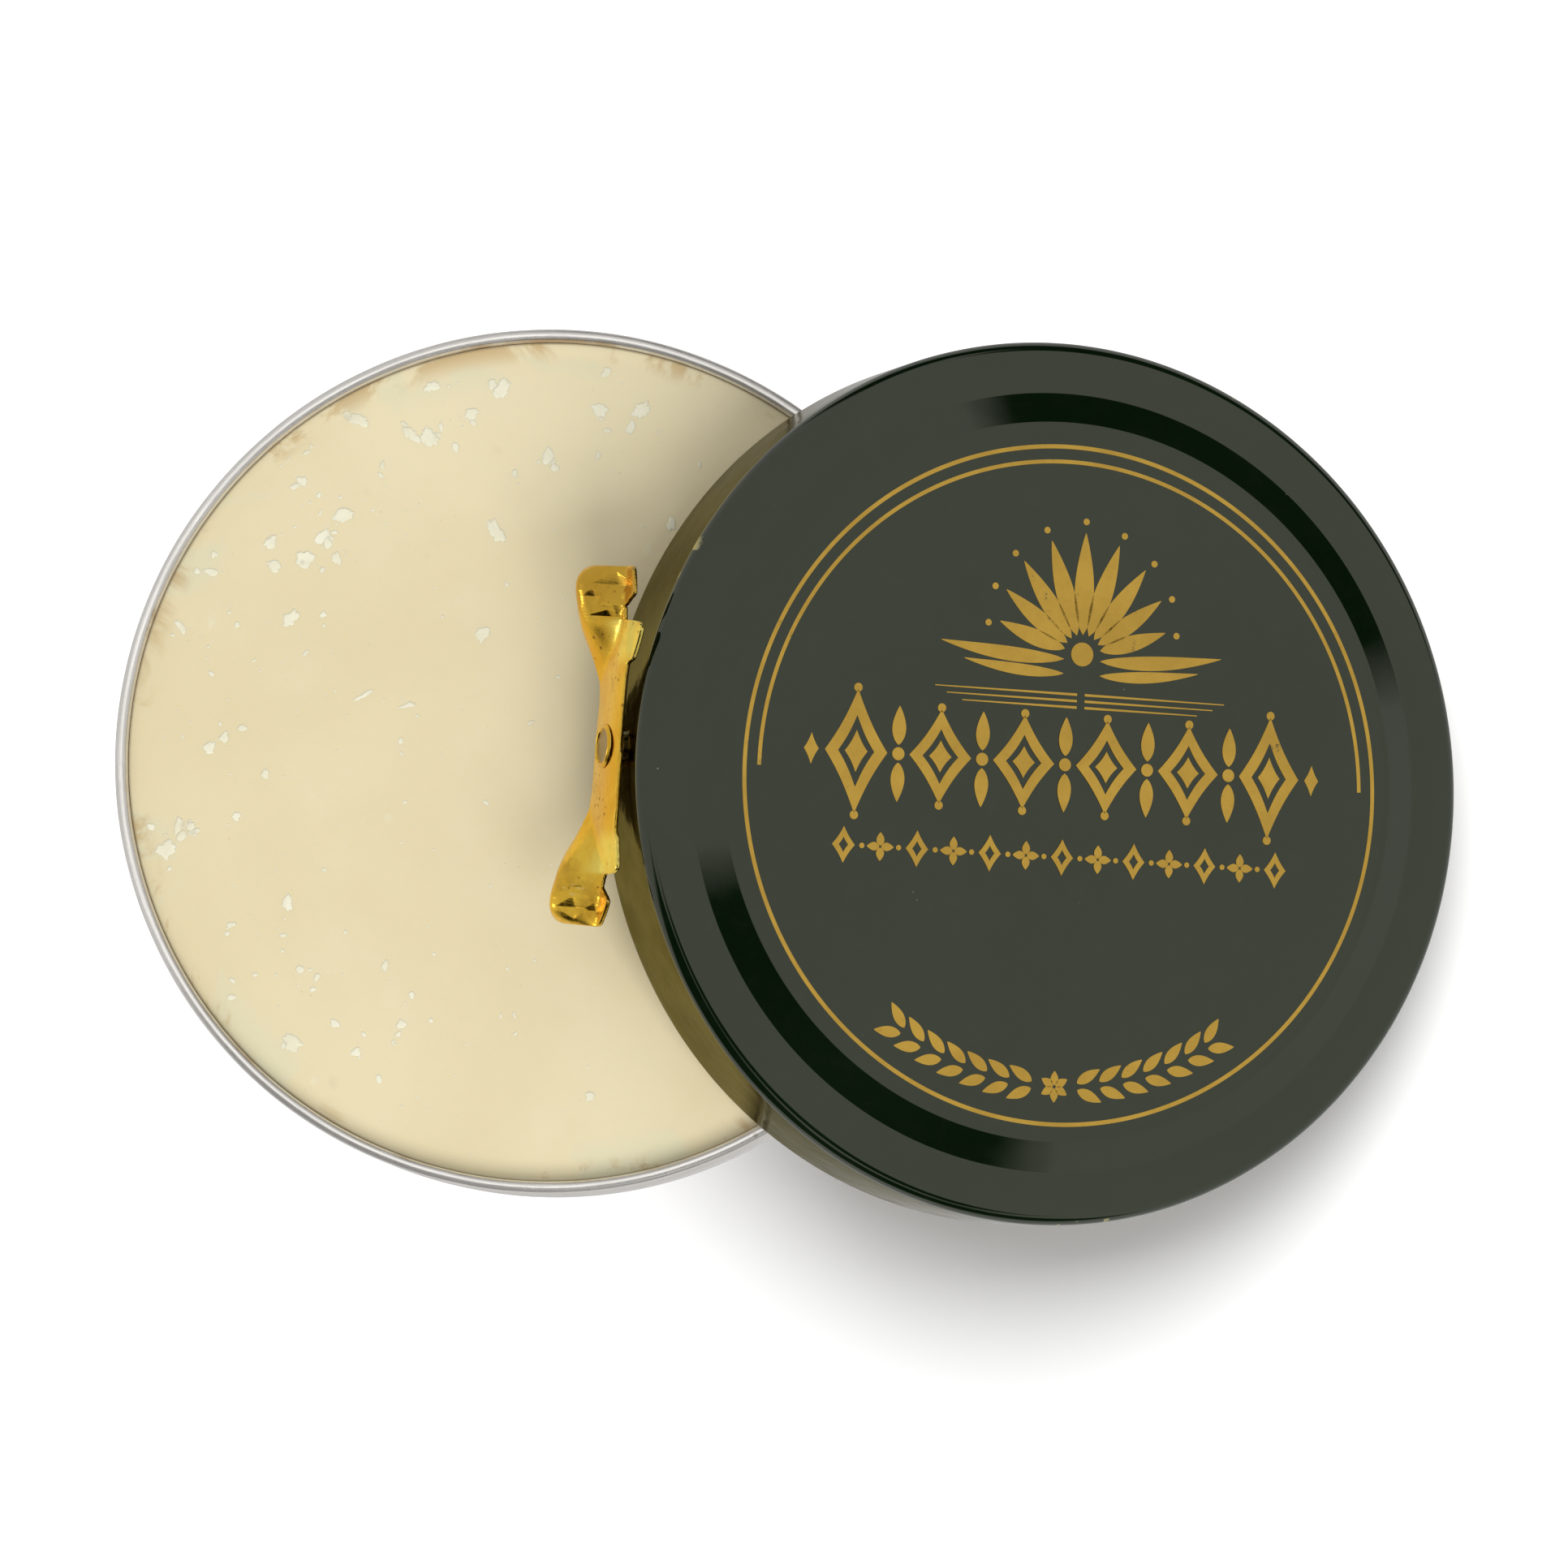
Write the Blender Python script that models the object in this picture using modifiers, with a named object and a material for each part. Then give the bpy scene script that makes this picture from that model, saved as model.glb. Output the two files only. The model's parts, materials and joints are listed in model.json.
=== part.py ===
"""Round shoe polish tin, opened: the base full of polish, the lid leaning on the base's rim.

The base stands on z = 0 with its axis on the world's Z axis. The lid is modelled in a frame of
its own, with z = 0 at its skirt's lower edge, and then leaned: its low side meets the ground on
+X and its high side lies over the polish. The twist key is riveted to the lid's high side.
"""
import math

import bpy
from mathutils import Matrix, Vector

COLLECTION = "shoe_polish_tin"
ROUND_STEPS = 64
WELD = 0.00001

# base
BASE_HEIGHT = 0.0230
BASE_SHEET = 0.00030
BASE_UPPER_RADIUS = 0.0409
BASE_BODY_RADIUS = 0.0419
BASE_FOOT_RADIUS = 0.0020
BASE_CURL_RADIUS = 0.00030
SHOULDER_LOW = 0.0107
SHOULDER_HIGH = 0.0122
FLOOR_GROOVE_RADIUS = 0.0325
FLOOR_GROOVE_HALF = 0.0016
FLOOR_GROOVE_RISE = 0.00045
GROOVE_POINTS = 5

# polish
POLISH_GAP = 0.00025
POLISH_BELOW_RIM = 0.0017
POLISH_MENISCUS = 0.00035
POLISH_MENISCUS_RUN = 0.0014
POLISH_DISH = 0.00012

# lid
LID_RADIUS = 0.0425
LID_SKIRT = 0.0105
LID_SHEET = 0.00035
LID_CORNER = 0.0010
LID_STEP_OUTER = 0.0376
LID_STEP_INNER = 0.0350
LID_STEP_RISE = 0.00105
LID_STEP_BLEND = 0.00035

# how the lid leans
LEAN_ANGLE = math.radians(20.25)
LEAN_TURN = math.radians(-3.4)
LEAN_OFFSET = 0.0454
LEAN_GROUND_GAP = 0.00005

# twist key and its rivet
KEY_AZIMUTH = math.radians(179.26)
KEY_TWIST = math.radians(-4.0)
KEY_HEIGHT = 0.0044
KEY_STANDOFF = 0.0010
KEY_SHEET = 0.00045
KEY_HALF_LENGTH = 0.0171
KEY_PLATE_HALF = 0.0118
KEY_NOTCH_END = 0.0133
KEY_TAB_START = 0.0146
KEY_NECK_HALF = 0.0057
KEY_TOP_EDGE = 0.0033
KEY_TOP_LOBE = 0.0052
KEY_BOTTOM_LOBE = 0.0040
KEY_LOBE_START = 0.0078
KEY_LOBE_STEP = 0.0086
KEY_LOBE_STEP_SHARE = 0.45
KEY_LOBE_PEAK = 0.0110
KEY_CORNER_DROP = 0.0005
KEY_TAB_EDGE = 0.0036
KEY_LOW_EDGE = -0.0033
KEY_WING_LOW_EDGE = -0.0040
KEY_NOTCH_EDGE = 0.0017
KEY_NOTCH_SIDE = 0.00025
KEY_HIGH_TIP_DROP = 0.0008
KEY_LOW_TIP_DROP = 0.0020
KEY_TIP_ROUNDING = 0.0016
KEY_TIP_FULLNESS = 0.99
KEY_CREASE_SLOPE = 0.9
KEY_CREASE_TOP = 0.0015
KEY_CREASE_BLEND = 0.0011
KEY_FOLD_FROM = 0.0065
KEY_FOLD_RUN = 0.0080
KEY_FOLD_LEAST = 0.45
KEY_FOLD_GAIN = 0.66
KEY_CURL_EDGE = -0.0012
KEY_CURL_RADIUS = 0.0012
KEY_TIP_FROM = 0.0150
KEY_TIP_SHARE = 0.43
KEY_BOW = 2.3
KEY_HOLE_RADIUS = 0.00125
DRILL_LENGTH = 0.0080
KEY_ROWS = 11
KEY_COLUMNS_PLATE = 3
KEY_COLUMNS_WING = 6

RIVET_SHANK = 0.00120
RIVET_SHOULDER = 0.00185
RIVET_HEAD = 0.00212
RIVET_HEAD_THICK = 0.00034
RIVET_CLINCH = 0.00190
RIVET_CLINCH_THICK = 0.00025
RIVET_DIMPLE = 0.00160
RIVET_DIMPLE_DEPTH = 0.00022
RIVET_PLAY = 0.00006
RIVET_STEPS = 32


# ---------------------------------------------------------------- helpers

def clear_scene():
    for thing in list(bpy.data.objects):
        bpy.data.objects.remove(thing, do_unlink=True)


def make_collection(name):
    group = bpy.data.collections.new(name)
    bpy.context.scene.collection.children.link(group)
    return group


def principled(name, colour, roughness, metallic):
    material = bpy.data.materials.new(name)
    material.use_nodes = True
    shader = material.node_tree.nodes["Principled BSDF"]
    shader.inputs["Base Color"].default_value = (*colour, 1.0)
    shader.inputs["Roughness"].default_value = roughness
    shader.inputs["Metallic"].default_value = metallic
    material.diffuse_color = (*colour, 1.0)
    return material


def arc(centre_x, centre_z, radius, start, end, count):
    """Points on an arc in the profile plane, angles in degrees from +X towards +Z."""
    points = []
    for i in range(count + 1):
        angle = math.radians(start + (end - start) * i / count)
        points.append((centre_x + radius * math.cos(angle), centre_z + radius * math.sin(angle)))
    return points


def add_mesh(group, name, vertices, edges, faces, material):
    mesh = bpy.data.meshes.new(name)
    mesh.from_pydata(vertices, edges, faces)
    mesh.update()
    body = bpy.data.objects.new(name, mesh)
    group.objects.link(body)
    mesh.materials.append(material)
    return body


def turned(group, name, profile, material, steps, sheet=0.0):
    """A body of revolution about Z from a profile at +X, given a sheet's thickness if stated."""
    vertices = [(x, 0.0, z) for x, z in profile]
    edges = [(i, i + 1) for i in range(len(profile) - 1)]
    body = add_mesh(group, name, vertices, edges, [], material)
    screw = body.modifiers.new("turn", "SCREW")
    screw.axis = "Z"
    screw.angle = 2.0 * math.pi
    screw.steps = steps
    screw.render_steps = steps
    screw.use_merge_vertices = True
    screw.merge_threshold = WELD
    screw.use_smooth_shade = True
    if sheet:
        solid = body.modifiers.new("sheet", "SOLIDIFY")
        solid.thickness = sheet
        solid.offset = -1.0
        solid.use_even_offset = True
    return body


def drill(body, cutters, name, radius, place):
    """Cut a round hole whose axis is the local Z of the placement matrix."""
    bpy.ops.mesh.primitive_cylinder_add(vertices=RIVET_STEPS, radius=radius, depth=DRILL_LENGTH)
    cutter = bpy.context.active_object
    cutter.name = name
    for old in list(cutter.users_collection):
        old.objects.unlink(cutter)
    cutters.objects.link(cutter)
    cutter.matrix_world = place
    cutter.hide_render = True
    cutter.display_type = "WIRE"
    hole = body.modifiers.new(name, "BOOLEAN")
    hole.operation = "DIFFERENCE"
    hole.solver = "EXACT"
    hole.object = cutter
    return cutter


# ---------------------------------------------------------------- placement

def lean_matrix():
    """The lid's own frame: tilted towards the lean direction, low edge just off the ground."""
    toward = Matrix.Rotation(LEAN_TURN, 4, "Z")
    tilt = Matrix.Rotation(LEAN_ANGLE, 4, "Y")
    direction = toward @ Vector((1.0, 0.0, 0.0))
    height = LID_RADIUS * math.sin(LEAN_ANGLE) + LEAN_GROUND_GAP
    place = Matrix.Translation(direction * LEAN_OFFSET + Vector((0.0, 0.0, height)))
    return place @ toward @ tilt


def key_matrix():
    """On the skirt's outside: local X along the skirt, Y up the lid's axis, Z outward."""
    around = Matrix.Rotation(KEY_AZIMUTH, 4, "Z")
    out = Matrix.Translation(Vector((LID_RADIUS + KEY_STANDOFF + KEY_SHEET, 0.0, KEY_HEIGHT)))
    axes = Matrix(((0.0, 0.0, 1.0, 0.0), (1.0, 0.0, 0.0, 0.0), (0.0, 1.0, 0.0, 0.0), (0.0, 0.0, 0.0, 1.0)))
    return lean_matrix() @ around @ out @ axes


# ---------------------------------------------------------------- base

def floor_groove(level):
    """The shallow stiffening groove pressed into the base's floor, from the axis outward."""
    inner = FLOOR_GROOVE_RADIUS - FLOOR_GROOVE_HALF
    outer = FLOOR_GROOVE_RADIUS + FLOOR_GROOVE_HALF
    points = []
    for i in range(GROOVE_POINTS + 1):
        share = i / GROOVE_POINTS
        rise = FLOOR_GROOVE_RISE * 0.5 * (1.0 - math.cos(2.0 * math.pi * share))
        points.append((inner + (outer - inner) * share, level + rise))
    return points


def shoulder():
    """The drawn-in step from the body up to the narrower wall that the lid's skirt covers."""
    low, high = SHOULDER_LOW, SHOULDER_HIGH
    step = BASE_BODY_RADIUS - BASE_UPPER_RADIUS
    return [
        (BASE_BODY_RADIUS, low),
        (BASE_BODY_RADIUS - step * 0.18, low + (high - low) * 0.35),
        (BASE_UPPER_RADIUS + step * 0.18, low + (high - low) * 0.70),
        (BASE_UPPER_RADIUS, high),
    ]


def base_profile():
    foot_x = BASE_BODY_RADIUS - BASE_FOOT_RADIUS
    curl_x = BASE_UPPER_RADIUS + BASE_CURL_RADIUS
    curl_z = BASE_HEIGHT - BASE_CURL_RADIUS - BASE_SHEET
    points = [(0.0, 0.0)]
    points += floor_groove(0.0)
    points += arc(foot_x, BASE_FOOT_RADIUS, BASE_FOOT_RADIUS, -90.0, 0.0, 4)
    points += shoulder()
    points += arc(curl_x, curl_z, BASE_CURL_RADIUS, 180.0, -60.0, 6)
    return points


def build_base(group):
    tinplate = principled("tinplate", (0.72, 0.72, 0.73), 0.32, 1.0)
    profile = base_profile()
    profile.reverse()
    return turned(group, "base_tin", profile, tinplate, ROUND_STEPS, BASE_SHEET)


# ---------------------------------------------------------------- polish

def polish_profile():
    """Top surface from the axis out, down the side, and back in along the floor."""
    inset = BASE_SHEET + POLISH_GAP
    upper = BASE_UPPER_RADIUS - inset
    lower = BASE_BODY_RADIUS - inset
    level = BASE_HEIGHT - POLISH_BELOW_RIM
    floor = BASE_SHEET + POLISH_GAP
    groove = floor_groove(floor)
    groove.reverse()
    corner = lower - BASE_FOOT_RADIUS
    points = [(0.0, level - POLISH_DISH)]
    points.append((upper * 0.5, level - POLISH_DISH * 0.7))
    points.append((upper - POLISH_MENISCUS_RUN, level))
    points.append((upper - POLISH_MENISCUS_RUN * 0.4, level + POLISH_MENISCUS * 0.35))
    points.append((upper, level + POLISH_MENISCUS))
    points.append((upper, SHOULDER_HIGH - POLISH_GAP))
    points.append((lower, SHOULDER_LOW - 3.0 * POLISH_GAP))
    points += arc(corner, floor + BASE_FOOT_RADIUS, BASE_FOOT_RADIUS, 0.0, -90.0, 3)
    points += groove
    points.append((0.0, floor))
    return points


def build_polish(group):
    wax = principled("polish", (0.80, 0.71, 0.52), 0.55, 0.0)
    return turned(group, "wax_polish", polish_profile(), wax, ROUND_STEPS)


# ---------------------------------------------------------------- lid

def lid_profile():
    """Outer skin of the lid from the axis out to the corner and down the skirt."""
    run = LID_STEP_OUTER - LID_STEP_INNER
    slope = math.degrees(math.atan2(LID_STEP_RISE, run))
    top = LID_SKIRT + LID_STEP_RISE
    blend = LID_STEP_BLEND
    points = [(0.0, top)]
    points += arc(LID_STEP_INNER - blend, top - blend * 2.0, blend * 2.0, 90.0, 90.0 - slope, 2)
    points += arc(LID_STEP_OUTER + blend, LID_SKIRT + blend * 2.0, blend * 2.0, 270.0 - slope, 270.0, 2)
    points += arc(LID_RADIUS - LID_CORNER, LID_SKIRT - LID_CORNER, LID_CORNER, 90.0, 0.0, 4)
    points.append((LID_RADIUS, 0.0))
    return points


def build_lid(group, cutters):
    lacquer = principled("lid_lacquer", (0.045, 0.055, 0.038), 0.22, 0.0)
    body = turned(group, "lid_shell", lid_profile(), lacquer, ROUND_STEPS, LID_SHEET)
    body.matrix_world = lean_matrix()
    bpy.context.view_layer.update()
    radius = RIVET_SHANK + RIVET_PLAY
    drill(body, cutters, "cut_rivet_hole", radius, key_matrix())
    return body


# ---------------------------------------------------------------- key

def key_columns():
    """Stations along the key: plate, notch and wing on each side of the rivet."""
    half = [KEY_NECK_HALF * i / KEY_COLUMNS_PLATE for i in range(KEY_COLUMNS_PLATE + 1)]
    half += [0.5 * (KEY_NECK_HALF + KEY_LOBE_START), KEY_LOBE_START, KEY_LOBE_STEP]
    half += [0.5 * (KEY_LOBE_STEP + KEY_LOBE_PEAK), KEY_LOBE_PEAK, KEY_PLATE_HALF]
    half.append(KEY_PLATE_HALF + KEY_NOTCH_SIDE)
    for i in range(KEY_COLUMNS_WING + 1):
        half.append(KEY_NOTCH_END + (KEY_HALF_LENGTH - KEY_NOTCH_END) * i / KEY_COLUMNS_WING)
    mirrored = [-x for x in reversed(half[1:])]
    return mirrored + half


def clamp(value):
    return min(1.0, max(0.0, value))


def key_top_edge(x):
    """The key's upper edge: a lobe at each end of the plate, a notch, and the wing's tab."""
    reach = abs(x)
    if reach <= KEY_PLATE_HALF:
        lobe = KEY_TOP_LOBE if x < 0.0 else KEY_BOTTOM_LOBE
        step = KEY_LOBE_STEP_SHARE * clamp((reach - KEY_LOBE_START) / (KEY_LOBE_STEP - KEY_LOBE_START))
        rise = clamp((reach - KEY_LOBE_STEP) / (KEY_LOBE_PEAK - KEY_LOBE_STEP))
        share = step + (1.0 - KEY_LOBE_STEP_SHARE) * rise
        corner = KEY_CORNER_DROP * clamp((reach - KEY_LOBE_PEAK) / (KEY_PLATE_HALF - KEY_LOBE_PEAK))
        return KEY_TOP_EDGE + (lobe - KEY_TOP_EDGE) * share - corner
    share = clamp((reach - KEY_NOTCH_END) / (KEY_TAB_START - KEY_NOTCH_END))
    tip = clamp((reach - KEY_TAB_START) / (KEY_HALF_LENGTH - KEY_TAB_START))
    drop = KEY_HIGH_TIP_DROP if x < 0.0 else KEY_LOW_TIP_DROP
    return KEY_NOTCH_EDGE + (KEY_TAB_EDGE - KEY_NOTCH_EDGE) * share - drop * tip ** 2


def key_low_edge(x):
    reach = abs(x)
    share = clamp((reach - KEY_NECK_HALF) / (KEY_PLATE_HALF - KEY_NECK_HALF))
    tip = clamp((reach - KEY_TIP_FROM) / (KEY_HALF_LENGTH - KEY_TIP_FROM))
    rounding = KEY_TIP_ROUNDING * (1.0 - math.sqrt(1.0 - KEY_TIP_FULLNESS * tip ** 2))
    return KEY_LOW_EDGE + (KEY_WING_LOW_EDGE - KEY_LOW_EDGE) * share + rounding


def key_outward(x, y):
    """How far the sheet stands out: the wing is folded up along a slanting crease, its lower
    edge curls back, and its tip closes in; the plate bows a little round the skirt."""
    reach = abs(x)
    bow = KEY_BOW * min(reach, KEY_PLATE_HALF) ** 2
    slant = KEY_LOW_EDGE + KEY_CREASE_SLOPE * (reach - KEY_NECK_HALF)
    apart = math.hypot(slant - KEY_CREASE_TOP, KEY_CREASE_BLEND)
    crease = 0.5 * (slant + KEY_CREASE_TOP - apart)
    drop = max(0.0, crease - y)
    steep = KEY_FOLD_LEAST + KEY_FOLD_GAIN * clamp((reach - KEY_FOLD_FROM) / KEY_FOLD_RUN)
    curl = max(0.0, KEY_CURL_EDGE - y)
    bend = clamp((reach - KEY_FOLD_FROM) / KEY_FOLD_RUN) * curl ** 2 / (2.0 * KEY_CURL_RADIUS)
    out = max(0.0, steep * drop - bend)
    tip = clamp((reach - KEY_TIP_FROM) / (KEY_HALF_LENGTH - KEY_TIP_FROM))
    return out * (KEY_TIP_SHARE + (1.0 - KEY_TIP_SHARE) * math.sqrt(1.0 - tip ** 2)) - bow


def build_key(group, cutters):
    brass = principled("key_lacquer", (0.80, 0.53, 0.14), 0.28, 1.0)
    stations = key_columns()
    vertices = []
    for x in stations:
        low = key_low_edge(x)
        high = key_top_edge(x)
        for j in range(KEY_ROWS + 1):
            y = low + (high - low) * j / KEY_ROWS
            vertices.append((x, y, key_outward(x, y)))
    faces = []
    rows = KEY_ROWS + 1
    for i in range(len(stations) - 1):
        for j in range(KEY_ROWS):
            corner = i * rows + j
            faces.append((corner, corner + rows, corner + rows + 1, corner + 1))
    body = add_mesh(group, "twist_key", vertices, [], faces, brass)
    body.data.polygons.foreach_set("use_smooth", [True] * len(faces))
    twist = Matrix.Rotation(KEY_TWIST, 4, "Z")
    body.matrix_world = key_matrix() @ twist
    solid = body.modifiers.new("sheet", "SOLIDIFY")
    solid.thickness = KEY_SHEET
    solid.offset = -1.0
    solid.use_even_offset = False
    bpy.context.view_layer.update()
    drill(body, cutters, "cut_key_hole", KEY_HOLE_RADIUS, key_matrix() @ twist)
    return body


# ---------------------------------------------------------------- rivet

def rivet_profile():
    """From the dimpled outer head down the shank and the shoulder to the clinched inner head."""
    head_low = RIVET_PLAY
    head_top = head_low + RIVET_HEAD_THICK
    plate_low = -KEY_SHEET - RIVET_PLAY
    skirt_out = -KEY_SHEET - KEY_STANDOFF + RIVET_PLAY
    skirt_in = -KEY_SHEET - KEY_STANDOFF - LID_SHEET - 2.0 * RIVET_PLAY
    crown = 0.5 * (RIVET_HEAD - RIVET_DIMPLE)
    points = [(0.0, head_top - RIVET_DIMPLE_DEPTH), (RIVET_DIMPLE * 0.8, head_top - RIVET_DIMPLE_DEPTH)]
    points += arc(RIVET_DIMPLE + crown, head_top - crown, crown, 170.0, 0.0, 5)
    points.append((RIVET_HEAD, head_low))
    points.append((RIVET_SHANK, head_low))
    points.append((RIVET_SHANK, plate_low))
    points.append((RIVET_SHOULDER, plate_low))
    points.append((RIVET_SHOULDER, skirt_out))
    points.append((RIVET_SHANK, skirt_out))
    points.append((RIVET_SHANK, skirt_in))
    points.append((RIVET_CLINCH, skirt_in))
    points.append((RIVET_CLINCH, skirt_in - RIVET_CLINCH_THICK))
    points.append((0.0, skirt_in - RIVET_CLINCH_THICK))
    return points


def build_rivet(group):
    steel = principled("rivet_lacquer", (0.78, 0.55, 0.20), 0.30, 1.0)
    body = turned(group, "key_rivet", rivet_profile(), steel, RIVET_STEPS)
    body.matrix_world = key_matrix()
    return body


def main():
    clear_scene()
    group = make_collection(COLLECTION)
    cutters = make_collection("cutters")
    build_base(group)
    build_polish(group)
    build_lid(group, cutters)
    build_key(group, cutters)
    build_rivet(group)


main()
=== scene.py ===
import json
import math
import random

import bmesh
import bpy
import numpy as np
from mathutils import Matrix, Vector


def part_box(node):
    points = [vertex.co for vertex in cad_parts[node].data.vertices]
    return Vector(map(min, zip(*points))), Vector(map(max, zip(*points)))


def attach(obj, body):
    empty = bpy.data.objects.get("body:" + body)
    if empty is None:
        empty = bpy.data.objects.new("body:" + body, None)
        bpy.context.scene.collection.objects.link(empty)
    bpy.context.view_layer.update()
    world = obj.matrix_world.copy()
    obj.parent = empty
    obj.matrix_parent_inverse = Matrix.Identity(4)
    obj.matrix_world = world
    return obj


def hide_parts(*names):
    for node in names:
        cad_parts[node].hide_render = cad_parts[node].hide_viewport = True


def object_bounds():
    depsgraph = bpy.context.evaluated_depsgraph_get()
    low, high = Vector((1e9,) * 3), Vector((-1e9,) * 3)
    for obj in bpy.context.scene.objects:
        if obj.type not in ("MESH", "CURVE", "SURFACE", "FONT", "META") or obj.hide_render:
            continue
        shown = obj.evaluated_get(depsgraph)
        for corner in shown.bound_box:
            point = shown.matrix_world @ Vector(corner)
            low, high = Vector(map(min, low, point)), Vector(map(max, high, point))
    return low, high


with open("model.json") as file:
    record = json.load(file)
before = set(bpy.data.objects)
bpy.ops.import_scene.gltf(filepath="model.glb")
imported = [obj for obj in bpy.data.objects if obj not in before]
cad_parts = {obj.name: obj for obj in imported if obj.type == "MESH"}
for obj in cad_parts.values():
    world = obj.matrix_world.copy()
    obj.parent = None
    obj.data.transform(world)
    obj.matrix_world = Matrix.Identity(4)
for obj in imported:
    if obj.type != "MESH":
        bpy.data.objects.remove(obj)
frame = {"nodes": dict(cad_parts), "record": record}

CAD_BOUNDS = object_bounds()
MM = 0.001
NODES = frame["nodes"]
JOINTS = {j["name"]: j for j in frame["record"]["behaviour"]["joints"]}


# ---- frames

def node_points(name):
    return np.array([v.co for v in NODES[name].data.vertices], float)


def turned_frame(name):
    """Placement of a turned node: local Z along its axis, origin at the middle of its lower edge."""
    mesh = NODES[name].data
    widest = max(mesh.polygons, key=lambda p: p.area)
    axis = widest.normal.copy()
    if axis.z < 0.0:
        axis.negate()
    side = (Vector((0.0, 0.0, 1.0)).cross(axis)).normalized()
    slope = side.cross(axis).normalized()
    basis = np.array([slope, side, axis])
    local = node_points(name) @ basis.T
    low, high = local.min(0), local.max(0)
    middle = (low + high) / 2.0
    middle[2] = low[2]
    origin = Vector(middle @ basis)
    place = Matrix((slope, side, axis)).transposed().to_4x4()
    place.translation = origin
    return place, (high[0] - low[0]) / 2.0, high[2] - low[2]


def key_frame():
    """Placement of the twist key: X along it, Y up the skirt, Z out along the rivet.
    The straight middle run of its lower edge gives the direction of X."""
    joint = JOINTS["key_twist"]
    out = Vector(joint["axis"]).normalized()
    pivot = Vector(joint["pos_m"])
    points = node_points("twist_key") - np.array(pivot)
    along = Vector((0.0, 0.0, 1.0)).cross(out).normalized()
    up = out.cross(along)
    if up.z < 0.0:
        along.negate()
        up.negate()
    for _ in range(3):
        x, y = points @ np.array(along), points @ np.array(up)
        middle = np.abs(x) < 5.4 * MM
        edge = middle & (y < y[middle].min() + 0.25 * MM)
        lean = math.atan(np.polyfit(x[edge], y[edge], 1)[0])
        along = Matrix.Rotation(lean, 3, out) @ along
        up = out.cross(along)
    place = Matrix((along, up, out)).transposed().to_4x4()
    place.translation = pivot
    return place


LID_PLACE, LID_R, LID_H = turned_frame("lid_shell")
KEY_PLACE = key_frame()
BASE_LOW, BASE_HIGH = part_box("base_tin")
BASE_TOP = BASE_HIGH.z
WAX_LOW, WAX_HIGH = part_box("wax_polish")


# ---- meshes

def new_object(name, mesh, materials):
    body = bpy.data.objects.new(name, mesh)
    bpy.context.scene.collection.objects.link(body)
    for material in materials:
        mesh.materials.append(material)
    return body


def settle(body, place=None):
    """Keeps each point's place in its own part's frame for the materials, then moves the mesh."""
    mesh = body.data
    flat = np.zeros(len(mesh.vertices) * 3, np.float32)
    mesh.vertices.foreach_get("co", flat)
    mesh.attributes.new("local", "FLOAT_VECTOR", "POINT").data.foreach_set("vector", flat)
    if place is not None:
        mesh.transform(place)
    mesh.update()


def smooth(mesh, angle=None):
    mesh.polygons.foreach_set("use_smooth", [True] * len(mesh.polygons))
    if angle is not None:
        mesh.set_sharp_from_angle(angle=math.radians(angle))


def grid_faces(rows, columns, wrap_rows, wrap_columns):
    r = np.arange(rows if wrap_rows else rows - 1)
    c = np.arange(columns if wrap_columns else columns - 1)
    rr, cc = np.meshgrid(r, c, indexing="ij")
    r2, c2 = (rr + 1) % rows, (cc + 1) % columns
    corners = [rr * columns + cc, r2 * columns + cc, r2 * columns + c2, rr * columns + c2]
    return np.stack(corners, -1).reshape(-1, 4)


def finish_mesh(mesh, weld=1e-6):
    bm = bmesh.new()
    bm.from_mesh(mesh)
    bmesh.ops.remove_doubles(bm, verts=bm.verts, dist=weld)
    bmesh.ops.recalc_face_normals(bm, faces=bm.faces)
    bm.to_mesh(mesh)
    bm.free()
    return mesh


def lathe(name, profile, segments, closed, wobble=None):
    """Turns a profile of (radius, height) round Z. wobble(angle, r, z) may move each ring's points."""
    profile = np.array(profile, float)
    angles = np.arange(segments) * 2.0 * math.pi / segments
    a, r = np.meshgrid(angles, profile[:, 0], indexing="ij")
    z = np.broadcast_to(profile[:, 1], r.shape).copy()
    if wobble is not None:
        r, z = wobble(a, r, z)
    points = np.stack([r * np.cos(a), r * np.sin(a), z], -1).reshape(-1, 3)
    faces = grid_faces(segments, len(profile), True, closed)
    mesh = bpy.data.meshes.new(name)
    mesh.from_pydata(points.tolist(), [], faces.tolist())
    return finish_mesh(mesh)


def spoke(angle, radius, cx=0.0, cy=0.0):
    """The point at an angle and a distance from a centre."""
    return cx + radius * math.cos(angle), cy + radius * math.sin(angle)


def arc(cx, cz, radius, start, end, count):
    return [spoke(t, radius, cx, cz) for t in np.radians(np.linspace(start, end, count + 1))]


def thick_profile(outer, sheet):
    """The outer skin and, a sheet's thickness inside it, the inner skin."""
    pts = np.array(outer, float)
    step = np.diff(pts, axis=0)
    normal = np.stack([-step[:, 1], step[:, 0]], -1)
    normal /= np.linalg.norm(normal, axis=1)[:, None]
    joint = np.vstack([normal[:1], normal[:-1] + normal[1:], normal[-1:]])
    joint /= np.linalg.norm(joint, axis=1)[:, None]
    first = np.vstack([normal[:1], normal])
    joint /= np.clip((joint * first).sum(1), 0.5, 1.0)[:, None]
    return pts, pts + joint * sheet


def soft_noise(x, y, seed):
    """Smooth repeatable noise from a few sines, about -1 to 1."""
    rng = np.random.default_rng(seed)
    total = np.zeros_like(x)
    weight = 0.0
    for k in range(3):
        for _ in range(4):
            fx, fy = rng.normal(0.0, 1.0, 2) * (2.0 ** k)
            total += np.sin(fx * x + fy * y + rng.uniform(0.0, 6.283)) / (1.6 ** k)
        weight += 2.0 / (1.6 ** k)
    return total / weight


# ---- materials

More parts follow.
